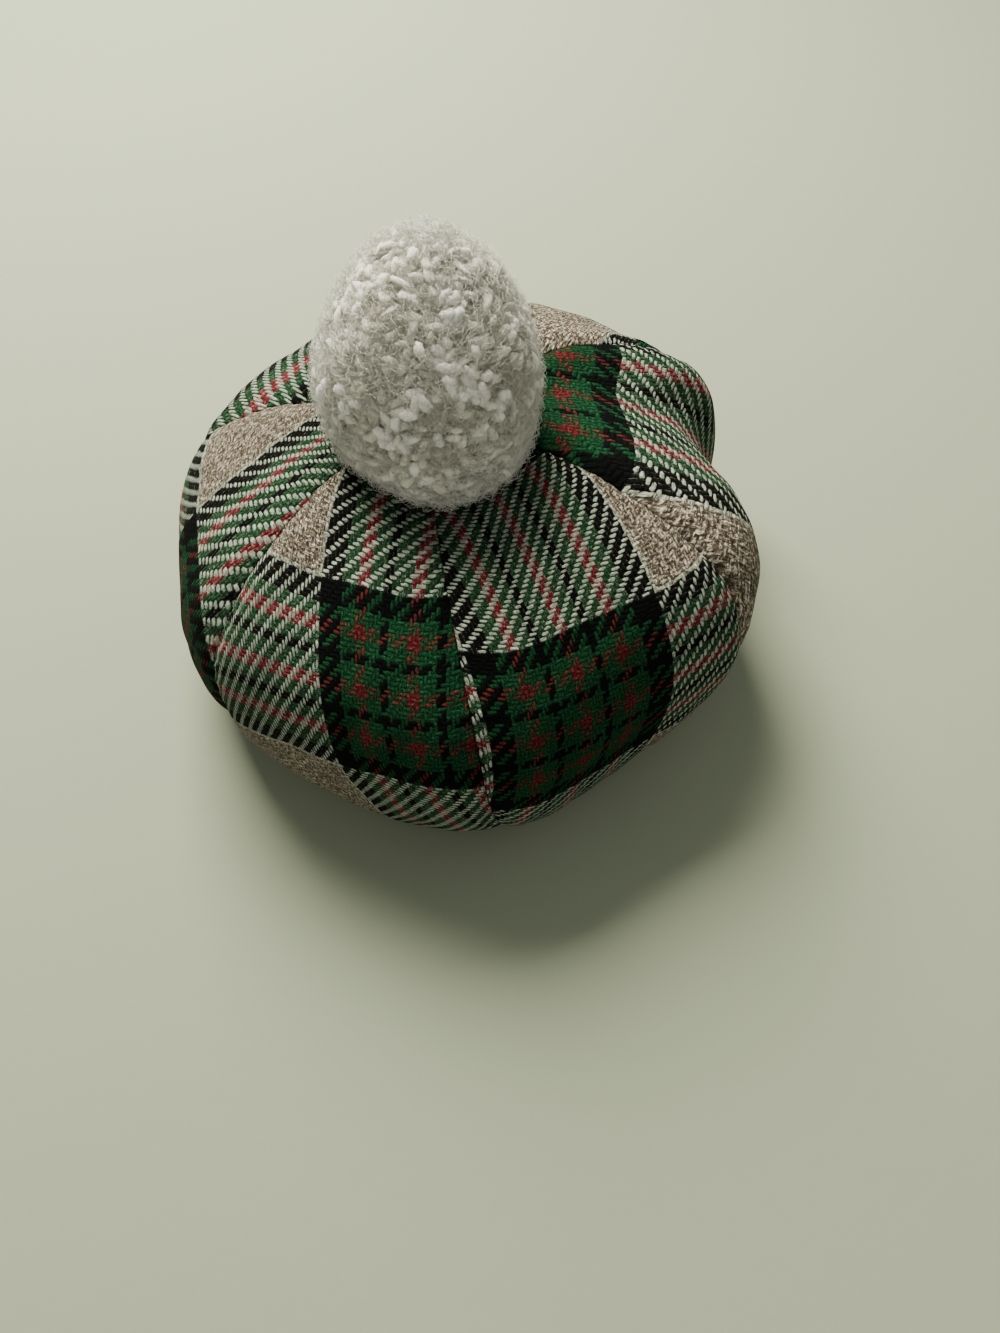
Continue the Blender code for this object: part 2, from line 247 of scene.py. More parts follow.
PATCH_SPAN = (0.3, 0.7)      # and of the patches' noise for the dullest and freshest cloth
PATCH_TONES = (0.88, 1.12)
SPECK_STRENGTH = (5.5, -3.5)   # contrast of the specks in a bulky yarn, and what fineness adds to it
SPECK_LEAST = 0.15

# Wools of the pompom: colours light and deep, how far the shading follows the whole ball, whether each
# yarn has a tone of its own that carries painted shade near its root, and where it differs from plain
# soft wool
YARN_WOOL = {"light": "#F1ECDC", "deep": "#CEC9B6", "follow": 0.75, "by_point": True}
# The tufts are glossier, and their colour is a lighter copy of the cream wool: painted highlight on the
# clusters
TUFT_WOOL = {
    "light": "#F8F5EA", "deep": "#E6E2D4", "follow": 0.3, "by_point": True,
    "Roughness": 0.5, "Specular_IOR_Level": 0.45,
}
FIBRE_WOOL = {"light": "#F2EFE0", "deep": "#E0DCCB", "follow": 0.6, "Subsurface_Weight": 0.0}
# The core's wool is darker than the yarn's: painted shade for the deep gaps between the yarn ends
CORE_WOOL = {"light": "#DEDACB", "deep": "#C6C2B1", "follow": 0.55}
CLOUD_NOISE = {"Scale": 55.0, "Detail": 2.0}     # a metre: clouds of 18 mm, lighter and deeper
CLOUD_SPAN = (0.35, 0.65)    # tones of that noise for the deepest and lightest clouds
CLOUD_SHARES = (0.15, 0.85)  # how far these are on the way from deep to light
SHADE_SHARES = (0.7, 0.4)    # weights of a yarn's own tone, with its painted root shade, and of the clouds
FUZZ_NOISE = {"Scale": 2200.0, "Detail": 3.0}    # a metre: fuzz of just under 0.5 mm
FUZZ_RELIEF = 0.0006

POMPOM_UNEVEN = 0.0014       # how far its clumps of yarn stand out or sink in
UNEVEN_WAYS = ((5, -3, 4), (-4, 6, 5), (6, 5, -7))   # radians from the middle to the skin
UNEVEN_STARTS = (1, 2, 4)
UNEVEN_FINE_STARTS = (5, 0, 3)
# Fuller and slacker places of the ball: turn from the back towards +X, rise on it and half-width, all
# in degrees, and how far out in metres
SWELL_COLUMNS = ("turn", "rise", "spread", "out")
SWELLS = (
    (72, -48, 28, 0.0022),
    (-72, -42, 28, -0.0022),
    (-64, 52, 22, -0.0028),
    (80, -2, 25, -0.0016),
    (-82, -5, 25, 0.0012),
    (28, 76, 18, 0.0008),
)

# Lumpy core: how far it lies inside the ball's skin, its lumps, what it clears the crown by, and its
# mesh steps down and round
CORE_INSET = 0.0016
CORE_LUMPS = 0.0015
CORE_WAYS = ((900, 400, 300), (-300, 800, 500), (200, -500, 900))   # radians a metre
CORE_CLEARANCE = 0.0012
CORE_DOWN = 90
CORE_ROUND = 180

# Yarn of the pompom.  Ranges are chosen from evenly, in metres and degrees.  Start and bend say how an
# end leans off the ball's normal and curls over, stand is the height of its middle line above the
# ball's skin at its highest, drift the way that it hangs, and the profile gives the radius along it.
YARN_ENDS = 1700
SOFT_END = {
    "length": (0.0090, 0.0150), "radius": (0.0016, 0.0026), "start": (5, 45), "bend": (40, 110),
    "stand": (-0.0016, 0.0009), "drift": (0.15, 0, -0.35), "rings": 5, "sides": 6,
    "profile": ((0, 0.3, 0.75, 0.9, 1), (0.8, 0.95, 1.0, 0.85, 0.5)),
}
TUFT_END = {
    "length": (0.0045, 0.0078), "radius": (0.0018, 0.0026), "start": (30, 70), "bend": (40, 95),
    "stand": (0.0005, 0.0018), "drift": (1.4, 0, -0.8), "rings": 6, "sides": 7,
    "profile": ((0, 0.15, 0.5, 0.85, 1), (0.5, 0.9, 1.0, 0.9, 0.5)),
}
# Clusters of smooth tufts: turn from the back towards +X and rise on the ball in degrees, with spreads
TUFT_COLUMNS = ("turn", "rise", "turn_spread", "rise_spread", "count")
TUFTS = (
    (-2, 15, 9, 4, 4),
    (10, 30, 8, 4, 6),
    (12, 20, 4, 3, 2),
    (12, 4, 14, 6, 12),
    (26, -6, 10, 6, 10),
    (24, 16, 4, 4, 2),
    (-20, -14, 9, 7, 9),
    (-9, -4, 4, 5, 3),
    (14, -20, 12, 5, 6),
    (-16, -42, 9, 9, 8),
    (-55, -4, 12, 6, 7),
    (-50, 38, 22, 9, 7),
    (-10, 44, 20, 8, 3),
    (-20, 58, 30, 8, 3),
    (50, 55, 24, 9, 3),
    (75, 10, 20, 25, 14),
    (120, 25, 25, 30, 18),
    (170, 35, 25, 30, 18),
    (-120, 20, 25, 30, 18),
)
YARN_SEAT_CLEARANCE = 0.0025   # an end starts this far or more above the crown
YARN_CLEARANCE = 0.0006
YARN_SWAY = 0.0010           # how far an end winds to its side
YARN_LUMPS = 0.00025         # how far the yarn's own unevenness moves its skin
YARN_LUMP_WAYS = ((900, 1300, 600), (-1400, 800, 700), (700, -900, 1500))   # radians a metre
YARN_TIP = 0.5               # how far an end's tip stands past its last ring, in radii
YARN_TONE_AND_ROOT_SHADE = (0.6, 0.4)     # of an end's tone, how much is its own and how much rises towards its tip: painted shade, darker at the root
STEEPEST_SEAT = -0.8         # no end starts where the ball faces down more steeply than this

# Loose fibres that wind over the yarn; the profile gives the radius along each in FIBRE_RADIUS
FIBRE_PIECES = 3
FIBRES_A_PIECE = 9600
FIBRE_RINGS = 4
FIBRE_RADIUS = 0.0001
FIBRE_PROFILE = ((0, 0.5, 1.0), (1.2, 1.0, 0.5))
FIBRE_LENGTH = (0.004, 0.009)
FIBRE_LIFT = (0.0019, 0.0055)   # off the ball, most near the first and few near the second
FIBRE_CURL = (0.0004, 0.0016)
FIBRE_DRIFT = (0.1, 0, -0.25)   # the way that they hang, beside a spread of 1
FIBRE_SEAT_CLEARANCE = 0.0015
FIBRE_CLEARANCE = 0.0005
SEED = 14                    # of all that is placed by chance on the pompom

# Height map of the crown that the yarn sits on: cells of half SEAT_MARGIN a side, the grid of cloth that
# it reads, round and along, and how far along that grid goes
HEIGHT_MAP_CELLS = 240
HEIGHT_MAP_GRID = (361, 181)
HEIGHT_MAP_WAY = 0.6

# Camera at the photograph's place, and the light
CAMERA_PLACE = (-0.00704, -0.33187, 0.44543)   # from the middle of the rim, on the floor
CAMERA_DOWN = 57.284         # degrees below the horizon
CAMERA_RIGHT = 4.547         # degrees from +Y towards +X
PICTURE_LONG_SIDE = 1333
FOCAL_PIXELS = 1002
SENSOR_LONG_SIDE = 36.0
CLOSEST_VIEW = 0.01
FLOOR_COLOUR = "#8E9480"
FLOOR_HALF = 2.5
FLOOR_GAP = 0.0002           # below the hat, so that the two never share a face
ROLLER_NOISE = {"Scale": 90.0, "Detail": 3.0}    # a metre: stipple of 11 mm
ROLLER_RELIEF = 0.0004
# A broad key from beyond the hat on the left, a weak fill from the right, and a low one from the side
# that was photographed: name, place, target, side in metres, watts and colour
LIGHTS = (
    ("key_light", (-0.32, 0.92, 1.08), (0, 0, 0.08), 0.8, 83, (1.0, 0.98, 0.84)),
    ("fill_light", (0.95, 0.30, 0.85), (0, 0, 0.06), 1.2, 1.5, (0.99, 1.0, 0.91)),
    ("low_fill", (-0.15, -1.15, 0.22), (0, 0, 0.04), 1.0, 4.5, (1.0, 1.0, 0.92)),
)
SURROUND_COLOUR = (0.97, 1.0, 0.90, 1)
SURROUND_STRENGTH = 0.31


def columns(table, names):
    """Each named column of a table as an array."""
    return dict(zip(names, np.array(table, dtype=float).T))


STATION = columns(STATIONS, STATION_COLUMNS)
RING = columns(RINGS, RING_COLUMNS)
FOLD = columns(FOLDS, FOLD_COLUMNS)
SWELL = columns(SWELLS, SWELL_COLUMNS)
TUFT = columns(TUFTS, TUFT_COLUMNS)

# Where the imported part's head band stands gives the rim's middle, from which the values above measure
band_low, band_high = (np.array(corner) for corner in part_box("head_band"))
HAT_SHIFT = (band_low + band_high) / 2 - (0, OPENING_SHIFT, 0)
HAT_SHIFT[2] = 0.0


def linear(hex_colour):
    """sRGB hex to linear: c / 12.92 below 0.04045, else ((c + 0.055) / 1.055) ^ 2.4, and alpha 1."""
    channels = [int(hex_colour[i:i + 2], 16) / 255 for i in (1, 3, 5)]
    return tuple(c / 12.92 if c < 0.04045 else ((c + 0.055) / 1.055) ** 2.4 for c in channels) + (1.0,)


def put_mesh(name, points, quads, triangles=(), thread_map=None, shade=None):
    """Object at the origin from arrays of points and faces, smooth-shaded, with the thread numbers of
    its points as a UV map and a shade of each point as an attribute where they are given."""
    quads = np.asarray(quads, dtype=np.int32).reshape(-1, 4)
    triangles = np.asarray(triangles, dtype=np.int32).reshape(-1, 3)
    corners = np.concatenate([quads.ravel(), triangles.ravel()])
    starts = np.concatenate([np.arange(len(quads)) * 4, quads.size + np.arange(len(triangles)) * 3])
    mesh = bpy.data.meshes.new(name)
    mesh.vertices.add(len(points))
    mesh.vertices.foreach_set("co", np.ascontiguousarray(points, dtype=np.float32).ravel())
    mesh.loops.add(len(corners))
    mesh.loops.foreach_set("vertex_index", corners)
    mesh.polygons.add(len(starts))
    mesh.polygons.foreach_set("loop_start", starts.astype(np.int32))
    mesh.update(calc_edges=True)
    if thread_map is not None:
        layer = mesh.uv_layers.new(name="threads")
        layer.uv.foreach_set("vector", np.ascontiguousarray(thread_map[corners], dtype=np.float32).ravel())
    if shade is not None:
        attribute = mesh.attributes.new("yarn_tone_and_root_shade", "FLOAT", "POINT")
        attribute.data.foreach_set("value", np.ascontiguousarray(shade, dtype=np.float32))
    mesh.shade_smooth()
    made = bpy.data.objects.new(name, mesh)
    bpy.context.scene.collection.objects.link(made)
    return made


def finish_piece(piece, material, nodes=()):
    """Gives a piece its material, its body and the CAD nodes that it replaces."""
    piece.data.materials.append(material)
    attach(piece, "root")
    if nodes:
        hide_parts(*nodes)


# Cloth surface


def round_curve(values, gore):
    """Closed cubic through one value for each station, read at gores from the back.  At each station it
    slopes as the line from the station before to the one after."""
    place = np.asarray(gore) * 2
    first = np.floor(place).astype(int)
    part = place - first
    before, near, far, after = (values[(first + step) % len(values)] for step in (-1, 0, 1, 2))
    return near + 0.5 * part * (far - before + part * (
        2 * before - 5 * near + 4 * far - after + part * (3 * (near - far) + after - before)))


def spline_weights(along, count):
    """Weights of each control ring along a cubic B-spline that starts and ends on its end rings.  They
    start as steps between the knots, and three times over each becomes a blend of itself and the next,
    rising and falling evenly between knots."""
    knots = np.concatenate([np.zeros(3), np.linspace(0, 1, count - 2), np.ones(3)])
    along = np.clip(along, 0, 1 - 1e-9)
    weights = [((knots[i] <= along) & (along < knots[i + 1])).astype(float) for i in range(count + 3)]
    for degree in (1, 2, 3):
        for i in range(count + 3 - degree):
            rise = knots[i + degree] - knots[i]
            fall = knots[i + degree + 1] - knots[i + 1]
            lower = (along - knots[i]) / rise * weights[i] if rise > 0 else 0
            upper = (knots[i + degree + 1] - along) / fall * weights[i + 1] if fall > 0 else 0
            weights[i] = lower + upper
    return np.stack(weights[:count])


def smooth_surface(gore, along):
    """Outer face without seams or dents: the control rings blended along the B-spline.  gore runs once
    round the hat, a whole number at each seam, and along from 0 at the hub to 1 at the opening."""
    even_turn = 360 / len(STATIONS)
    uneven = STATION["azimuth"] - even_turn * np.arange(len(STATIONS))
    azimuth = even_turn * 2 * gore + round_curve(uneven, gore)
    turn, reach, rim, crest = (round_curve(STATION[name], gore) for name in STATION_COLUMNS[1:])
    weights = spline_weights(along, len(RINGS))
    points = np.zeros(np.shape(gore) + (3,))
    for i, weight in enumerate(weights):
        ring = {name: RING[name][i] for name in RING_COLUMNS}
        radius = (ring["hole"] * HUB_HOLE + ring["reach"] * reach * CROWN_REACH
                  + ring["opening"] * OPENING_RADIUS)
        height = ring["hub"] * HUB_HEIGHT + (ring["crest"] * crest + ring["rim"] * rim) * CROWN_HEIGHT
        angle = np.radians(azimuth + ring["turn"] * turn)
        middle_x = ring["slouch"] * HUB_SLOUCH[0]
        middle_y = ring["slouch"] * HUB_SLOUCH[1] + ring["shift"] * OPENING_SHIFT
        points[..., 0] += weight * (middle_x + radius * np.sin(angle))
        points[..., 1] += weight * (middle_y - radius * np.cos(angle))
        points[..., 2] += weight * height
    return points


def rates(surface, gore, along):
    """How a surface point moves for one gore round and for one full way along, from small steps."""
    step_round, step_along = 0.01, 0.004
    round_rate = (surface(gore + step_round, along) - surface(gore - step_round, along)) / (2 * step_round)
    after, before = np.minimum(along + step_along, 1), np.maximum(along - step_along, 0)
    along_rate = (surface(gore, after) - surface(gore, before)) / (after - before)[..., None]
    return round_rate, along_rate


def outward(surface, gore, along):
    """Unit normal of a surface, pointing out of the hat: the cross product of its two rates."""
    round_rate, along_rate = rates(surface, gore, along)
    normal = np.cross(along_rate, round_rate)
    return normal / np.linalg.norm(normal, axis=-1, keepdims=True)


def off_seam(gore, along):
    """Distance round the hat from the nearest seam: the gores between times the rate round."""
    round_rate = rates(smooth_surface, gore, along)[0]
    return np.abs(gore - np.round(gore)) * np.linalg.norm(round_rate, axis=-1)


def calm(along):
    """1 on the crown, falling to 0 at the opening as the square of the way left."""
    return np.clip((1 - along) / CALM_SHARE, 0, 1) ** 2


def pulled_in(gore, along):
    """How far the cloth lies inside the smooth form: exp(-(distance / width)^2) at each seam, and
    depth * exp(-(across^2 + up^2)) at each dent, both measured in the dent's half-widths."""
    depth = SEAM_DEPTH * np.exp(-(off_seam(gore, along) / SEAM_WIDTH) ** 2)
    for i in range(len(FOLDS)):
        turned = (gore - FOLD["gore"][i] + GORE_COUNT / 2) % GORE_COUNT - GORE_COUNT / 2
        across = turned / FOLD["half_across"][i]
        up = (along - FOLD["along"][i]) / FOLD["half_along"][i]
        depth = depth + FOLD_DEPTH * FOLD["depth"][i] * np.exp(-(across ** 2 + up ** 2))
    return depth * calm(along)


def cloth_surface(gore, along):
    """Outer face of the cloth: the smooth form pulled in at seams and dents, flat where it rests."""
    points = smooth_surface(gore, along)
    points = points - outward(smooth_surface, gore, along) * pulled_in(gore, along)[..., None]
    points[..., 2] = np.maximum(points[..., 2], 0)
    return points


def fine_relief(gore, along, points, seam):
    """Depth of what sewing and wear add: a crease exp(-distance / width) beside each seam, ripples
    sin(2 pi length / spacing) that fade away from it, and slow waves, a sum of sines through space.
    seam is the number of the nearest seam, which starts the ripples differently at each."""
    distance = off_seam(gore, along)
    crease = CREASE_DEPTH * np.exp(-distance / CREASE_WIDTH)
    length = np.cumsum(np.linalg.norm(np.diff(points, axis=1, prepend=points[:, :1]), axis=-1), axis=1)
    phase = 2 * math.pi * length / PUCKER_SPACING + PUCKER_SHIFT * np.sin(length / PUCKER_DRIFT + seam)
    fading = np.exp(-(distance / PUCKER_REACH) ** 2)
    pucker = PUCKER_DEPTH * fading * np.sin(phase + PUCKER_START * seam)
    turns = 2 * math.pi / SLACK_SPACING
    waves = sum(np.sin(points @ np.array(way) * turns + start) for way, start in SLACK_WAYS)
    shallower = np.clip((1 - along) / CALM_SHARE, 0, 1)
    return (crease + pucker) * shallower + SLACK_DEPTH * waves / 3 * calm(along)


def flat_place(points, normals):
    """Place of each point on the flat gore: y is the length along the middle line, and each row then
    runs out from it, turning by its own geodesic curvature, so the cloth neither stretches nor shears
    across.  Returns x across and y along, in metres."""
    count, rows = points.shape[:2]
    middle = count // 2
    steps = np.diff(points, axis=0)
    lengths = np.linalg.norm(steps, axis=-1)
    ways = steps / np.maximum(lengths, 1e-9)[..., None]
    inner = normals[1:-1]
    before = ways[:-1] - (ways[:-1] * inner).sum(-1, keepdims=True) * inner
    after = ways[1:] - (ways[1:] * inner).sum(-1, keepdims=True) * inner
    bends = np.arctan2((np.cross(before, after) * inner).sum(-1), (before * after).sum(-1))
    headings = np.zeros((count - 1, rows))
    headings[middle:] = np.cumsum(bends[middle - 1:], axis=0) - bends[middle - 1] / 2
    headings[:middle] = -np.cumsum(bends[middle - 1::-1], axis=0)[::-1] + bends[middle - 1] / 2
    run = np.stack([lengths * np.cos(headings), lengths * np.sin(headings)], axis=-1)
    place = np.zeros((count, rows, 2))
    place[middle + 1:] = np.cumsum(run[middle:], axis=0)
    place[:middle] = -np.cumsum(run[middle - 1::-1], axis=0)[::-1]
    spine = np.linalg.norm(np.diff(points[middle], axis=0), axis=-1)
    place[..., 1] += np.concatenate([[0], np.cumsum(spine)])
    return place[..., 0], place[..., 1]


def thread_numbers(index, across, along):
    """Warp and weft thread at each place of a flat gore, from its rows in WARP_LAY and WEFT_LAY."""
    x, y = across * 10, (along - LAY_MIDDLE) * 10
    powers = np.stack([np.ones_like(x), x, y, x * x, x * y, y * y], axis=-1)
    return np.stack([powers @ np.array(WARP_LAY[index]), powers @ np.array(WEFT_LAY[index])], axis=-1)


def wall_rim(outer, inner):
    """Triangles that join an outer edge line to an inner one with half as many steps."""
    a, b, c = outer[:-1:2], outer[1::2], outer[2::2]
    p, q = inner[:-1], inner[1:]
    return np.concatenate([np.stack([b, a, p], -1), np.stack([b, p, q], -1), np.stack([c, b, q], -1)])


def grid_quads(index):
    """Quads of a grid of point numbers, turned so that they face along (second way) x (first way)."""
    corners = [index[:-1, :-1], index[:-1, 1:], index[1:, 1:], index[1:, :-1]]
    return np.stack(corners, axis=-1).reshape(-1, 4)


def gore_steps():
    """Mesh lines across a gore as shares of its width, halfway between even steps and those of a
    cosine, which lie closer together towards its two seams."""
    even = np.linspace(0, 1, GORE_ACROSS + 1)
    return (even + (1 - np.cos(math.pi * even)) / 2) / 2


def gore_wall(outer, inner):
    """Closed wall from an outer grid of points and an inner one with half its steps: points, quads of
    the two faces, and the triangles of the rims that join them at two seams, hub and opening."""
    outer_id = np.arange(outer.shape[0] * outer.shape[1]).reshape(outer.shape[:2])
    inner_id = outer_id.size + np.arange(inner.shape[0] * inner.shape[1]).reshape(inner.shape[:2])
    rims = [
        wall_rim(outer_id[0], inner_id[0]),
        wall_rim(outer_id[-1, ::-1], inner_id[-1, ::-1]),
        wall_rim(outer_id[::-1, 0], inner_id[::-1, 0]),
        wall_rim(outer_id[:, -1], inner_id[:, -1]),
    ]
    points = np.concatenate([outer.reshape(-1, 3), inner.reshape(-1, 3)])
    quads = np.concatenate([grid_quads(outer_id), grid_quads(inner_id)[:, ::-1]])
    return points, quads, np.concatenate(rims)


def make_gore(index, material):
    """One gore as a closed wall.  The relief is pushed into the outer face, the inner face lies one
    cloth's thickness below it, and its edges stand half a seam gap off the seams.  Its thread numbers
    are those of its flat pattern, so the check bends with the cloth."""
    across, along = np.meshgrid(gore_steps(), np.linspace(0, 1, GORE_ALONG + 1), indexing="ij")
    gore = index + across
    round_rate = np.linalg.norm(rates(cloth_surface, gore, along)[0], axis=-1)
    gore = gore + SEAM_GAP / 2 * (1 - 2 * across) / round_rate
    plain = cloth_surface(gore, along)
    normals = outward(cloth_surface, gore, along)
    outer = plain - normals * fine_relief(gore, along, plain, np.round(gore))[..., None]
    outer[..., 2] = np.maximum(outer[..., 2], 0)
    inner = (outer - normals * CLOTH_THICKNESS)[::2, ::2]
    points, quads, rims = gore_wall(outer, inner)
    x, y = flat_place(plain, normals)
    threads = thread_numbers(index, x, y)
    thread_map = np.concatenate([threads.reshape(-1, 2), threads[::2, ::2].reshape(-1, 2)])
    piece = put_mesh(f"tartan_gore_{index + 1}", points + HAT_SHIFT, quads, rims, thread_map)
    finish_piece(piece, material, (f"gore_{index + 1}",))


def band_profile(outside):
    """Upright profile of the band, radius and height: up the outer side, round the fold on top by half
    a circle, down the inner side and round a foot that the floor presses flatter."""
    half = BAND_THICKNESS / 2
    middle = outside - half
    turn = np.linspace(0, math.pi, BAND_FOLD)
    fold = np.stack([middle + half * np.cos(turn), BAND_HEIGHT - half + half * np.sin(turn)], -1)
    foot = np.stack([middle - half * np.cos(turn), BAND_FOOT * half * (1 - np.sin(turn))], -1)
    side = np.linspace(half, BAND_HEIGHT - half, BAND_SIDE + 2)[1:-1]
    outer_side = np.stack([np.full(BAND_SIDE, outside), side], -1)
    inner_side = np.stack([np.full(BAND_SIDE, outside - BAND_THICKNESS), side[::-1]], -1)
    return np.concatenate([outer_side, fold, inner_side, foot])


def make_head_band(material):
    """Ring of doubled cloth: its profile carried round the opening, with a slow waviness of its radius
    that grows with height, the sine of BAND_WAVES times the angle."""
    profile = band_profile((band_high[0] - band_low[0]) / 2)
    angle = np.arange(BAND_ROUND) * 2 * math.pi / BAND_ROUND
    wavy = BAND_WAVE * (1 + np.sin(BAND_WAVES * angle)) / 2
    radius = profile[:, 0] - wavy[:, None] * np.clip(profile[:, 1] / BAND_HEIGHT, 0, 1)
    height = np.broadcast_to(profile[:, 1], radius.shape)
    sideways = radius * np.sin(angle)[:, None]
    forwards = OPENING_SHIFT - radius * np.cos(angle)[:, None]
    points = np.stack([sideways, forwards, height], -1)
    index = np.arange(radius.size).reshape(radius.shape)
    index = np.concatenate([index, index[:1]])
    index = np.concatenate([index, index[:, :1]], axis=1)
    lengths = np.concatenate([[0], np.cumsum(np.linalg.norm(np.diff(profile, axis=0), axis=-1))])
    warp = np.broadcast_to((angle * OPENING_RADIUS / WARP_PITCH)[:, None], radius.shape)
    weft = np.broadcast_to(lengths / WEFT_PITCH, radius.shape)
    piece = put_mesh("plain_head_band", points.reshape(-1, 3) + HAT_SHIFT, grid_quads(index)[:, ::-1],
                     thread_map=np.stack([warp, weft], -1).reshape(-1, 2))
    finish_piece(piece, material, ("head_band",))


# Pompom


def crown_heights():
    """Function that gives the top of the crown at places seen from above.  It reads a height map: the
    highest point of a fine grid of the cloth in each cell, spread by SEAT_MARGIN to the cells round it."""
    gore, along = np.meshgrid(np.linspace(0, GORE_COUNT, HEIGHT_MAP_GRID[0]),
                              np.linspace(0, HEIGHT_MAP_WAY, HEIGHT_MAP_GRID[1]), indexing="ij")
    points = cloth_surface(gore, along).reshape(-1, 3)
    step, count = SEAT_MARGIN / 2, HEIGHT_MAP_CELLS

    def cell(place):
        """Cell of the map that a place lies in."""
        return np.floor(place[..., :2] / step).astype(int) + count // 2

    found = cell(points)
    height = np.zeros((count, count))
    np.maximum.at(height, (found[:, 0], found[:, 1]), points[:, 2])
    for _ in range(2):
        spread = np.pad(height, 1, mode="edge")
        height = np.max([spread[i:i + count, j:j + count] for i in range(3) for j in range(3)], axis=0)

    def top(place):
        """Height in a place's cell."""
        near = np.clip(cell(place), 0, count - 1)
        return height[near[..., 0], near[..., 1]]
    return top


def pompom_frame(top):
    """Middle of the yarn and the matrix of its lean, a turn about X."""
    middle = np.array([HUB_SLOUCH[0] + POMPOM_FLOP[0], HUB_SLOUCH[1] + POMPOM_FLOP[1], 0.0])
    lean = math.radians(-POMPOM_LEAN)
    middle[2] = top(middle) + POMPOM_HEIGHT / 2 * math.cos(lean) - POMPOM_SINK
    turn = np.array([[1, 0, 0], [0, math.cos(lean), -math.sin(lean)], [0, math.sin(lean), math.cos(lean)]])
    return middle, turn


def ball_ways(turn, rise):
    """Directions on the ball from turns from the back towards +X and rises, in degrees: cosine of the
    rise times sine and cosine of the turn, and sine of the rise."""
    turn, rise = np.radians(turn), np.radians(rise)
    return np.stack([np.cos(rise) * np.sin(turn), -np.cos(rise) * np.cos(turn), np.sin(rise)], -1)


def egg(ways, middle, turn, inset=0.0):
    """Points and normals of the egg-shaped form in unit directions: its half-sizes times each
    direction, slimmer towards the top, turned by the lean.  It is uneven by sines across it, with half
    as much three times finer, and by each swell times exp(-(1 - cosine) / (1 - cosine at its spread))."""
    half_width = POMPOM_WIDTH / 2 - LOCK_LENGTH / 2 - inset
    half_height = POMPOM_HEIGHT / 2 - LOCK_LENGTH / 2 - inset
    slim = 1 - POMPOM_NARROWING * np.maximum(ways[..., 2:], 0)
    sizes = np.concatenate([half_width * slim, half_width * slim, np.full_like(slim, half_height)], -1)
    normal = ways / sizes
    normal /= np.linalg.norm(normal, axis=-1, keepdims=True)
    waves = ways @ np.array(UNEVEN_WAYS).T
    clumps = np.sin(waves + UNEVEN_STARTS) + 0.5 * np.sin(3 * waves + UNEVEN_FINE_STARTS)
    uneven = clumps.sum(-1) / 3 * POMPOM_UNEVEN
    apart = 1 - ways @ ball_ways(SWELL["turn"], SWELL["rise"]).T
    uneven = uneven + np.exp(-apart / (1 - np.cos(np.radians(SWELL["spread"])))) @ SWELL["out"]
    points = middle + (ways * sizes + normal * uneven[..., None]) @ turn.T
    return points, normal @ turn.T


def even_ways(count):
    """Directions spread evenly over a ball: heights in equal steps, turning by the golden angle."""
    number = np.arange(count) + 0.5
    height = 1 - 2 * number / count
    turn = number * math.pi * (3 - math.sqrt(5))
    flat = np.sqrt(1 - height ** 2)
    return np.stack([flat * np.cos(turn), flat * np.sin(turn), height], -1)


def tubes(paths, radii, sides, first_across):
    """Closed tubes round many paths at once: rings of points at each path's radius, perpendicular to
    it, with both ends closed.  Returns points, quads, triangles and each point's share of the way."""
    count, rings = paths.shape[:2]
    ways = np.gradient(paths, axis=1)
    ways /= np.linalg.norm(ways, axis=-1, keepdims=True)
    across = first_across[:, None] - (first_across[:, None] * ways).sum(-1, keepdims=True) * ways
    across /= np.linalg.norm(across, axis=-1, keepdims=True)
    beside = np.cross(ways, across)
    angle = np.arange(sides) * 2 * math.pi / sides
    ring = (across[:, :, None] * np.cos(angle)[:, None] + beside[:, :, None] * np.sin(angle)[:, None])
    points = (paths[:, :, None] + ring * radii[:, :, None, None]).reshape(count, -1, 3)
    base = np.arange(rings * sides).reshape(rings, sides)
    base = np.concatenate([base, base[:, :1]], axis=1)
    quads = grid_quads(base)
    share = np.repeat(np.linspace(0, 1, rings), sides)
    if sides == 3:
        triangles = np.array([base[0, 2::-1], base[-1, :3]])
    else:
        tips = np.stack([paths[:, 0], paths[:, -1] + ways[:, -1] * radii[:, -1:] * YARN_TIP], axis=1)
        points = np.concatenate([points, tips], axis=1)
        share = np.append(share, [0, 1])
        triangles = np.concatenate([
            np.stack([np.full(sides, rings * sides), base[0, 1:], base[0, :-1]], -1),
            np.stack([np.full(sides, rings * sides + 1), base[-1, :-1], base[-1, 1:]], -1)])
    offset = (np.arange(count) * points.shape[1])[:, None, None]
    return (points.reshape(-1, 3), (quads[None] + offset).reshape(-1, 4),
            (triangles[None] + offset).reshape(-1, 3), np.tile(share, count))


def curled_ends(chance, seats, normals, sizes):
    """Paths and radii of yarn ends that leave the ball and curl over.  The angle off the ball's normal
    is start + bend * share ^ 1.3, the highest point of each path stands its own height above the skin,
    and it winds to its side by the sine of five times the share."""
    count = len(seats)
    side = chance.normal(size=(count, 3)) + sizes["drift"]
    side -= (side * normals).sum(-1, keepdims=True) * normals
    side /= np.linalg.norm(side, axis=-1, keepdims=True)
    swing = np.cross(normals, side)
    length, radius, start, bend, stand = (
        chance.uniform(*sizes[name], (count, 1)) for name in ("length", "radius", "start", "bend", "stand"))
    along = np.linspace(0, 1, sizes["rings"])
    angle = np.radians(start + bend * along ** 1.3)[..., None]
    steps = np.cos(angle) * normals[:, None] + np.sin(angle) * side[:, None]
    steps *= length[..., None] / (sizes["rings"] - 1)
    paths = seats[:, None] + np.cumsum(steps, axis=1) - steps[:, :1]
    height = ((paths - seats[:, None]) * normals[:, None]).sum(-1).max(axis=1, keepdims=True)
    paths += normals[:, None] * (stand - height)[..., None]
    sway = YARN_SWAY * np.sin(along * 5 + chance.uniform(0, 6, (count, 1)))
    paths += swing[:, None] * sway[..., None]
    return paths, radius * np.interp(along, *sizes["profile"]), swing


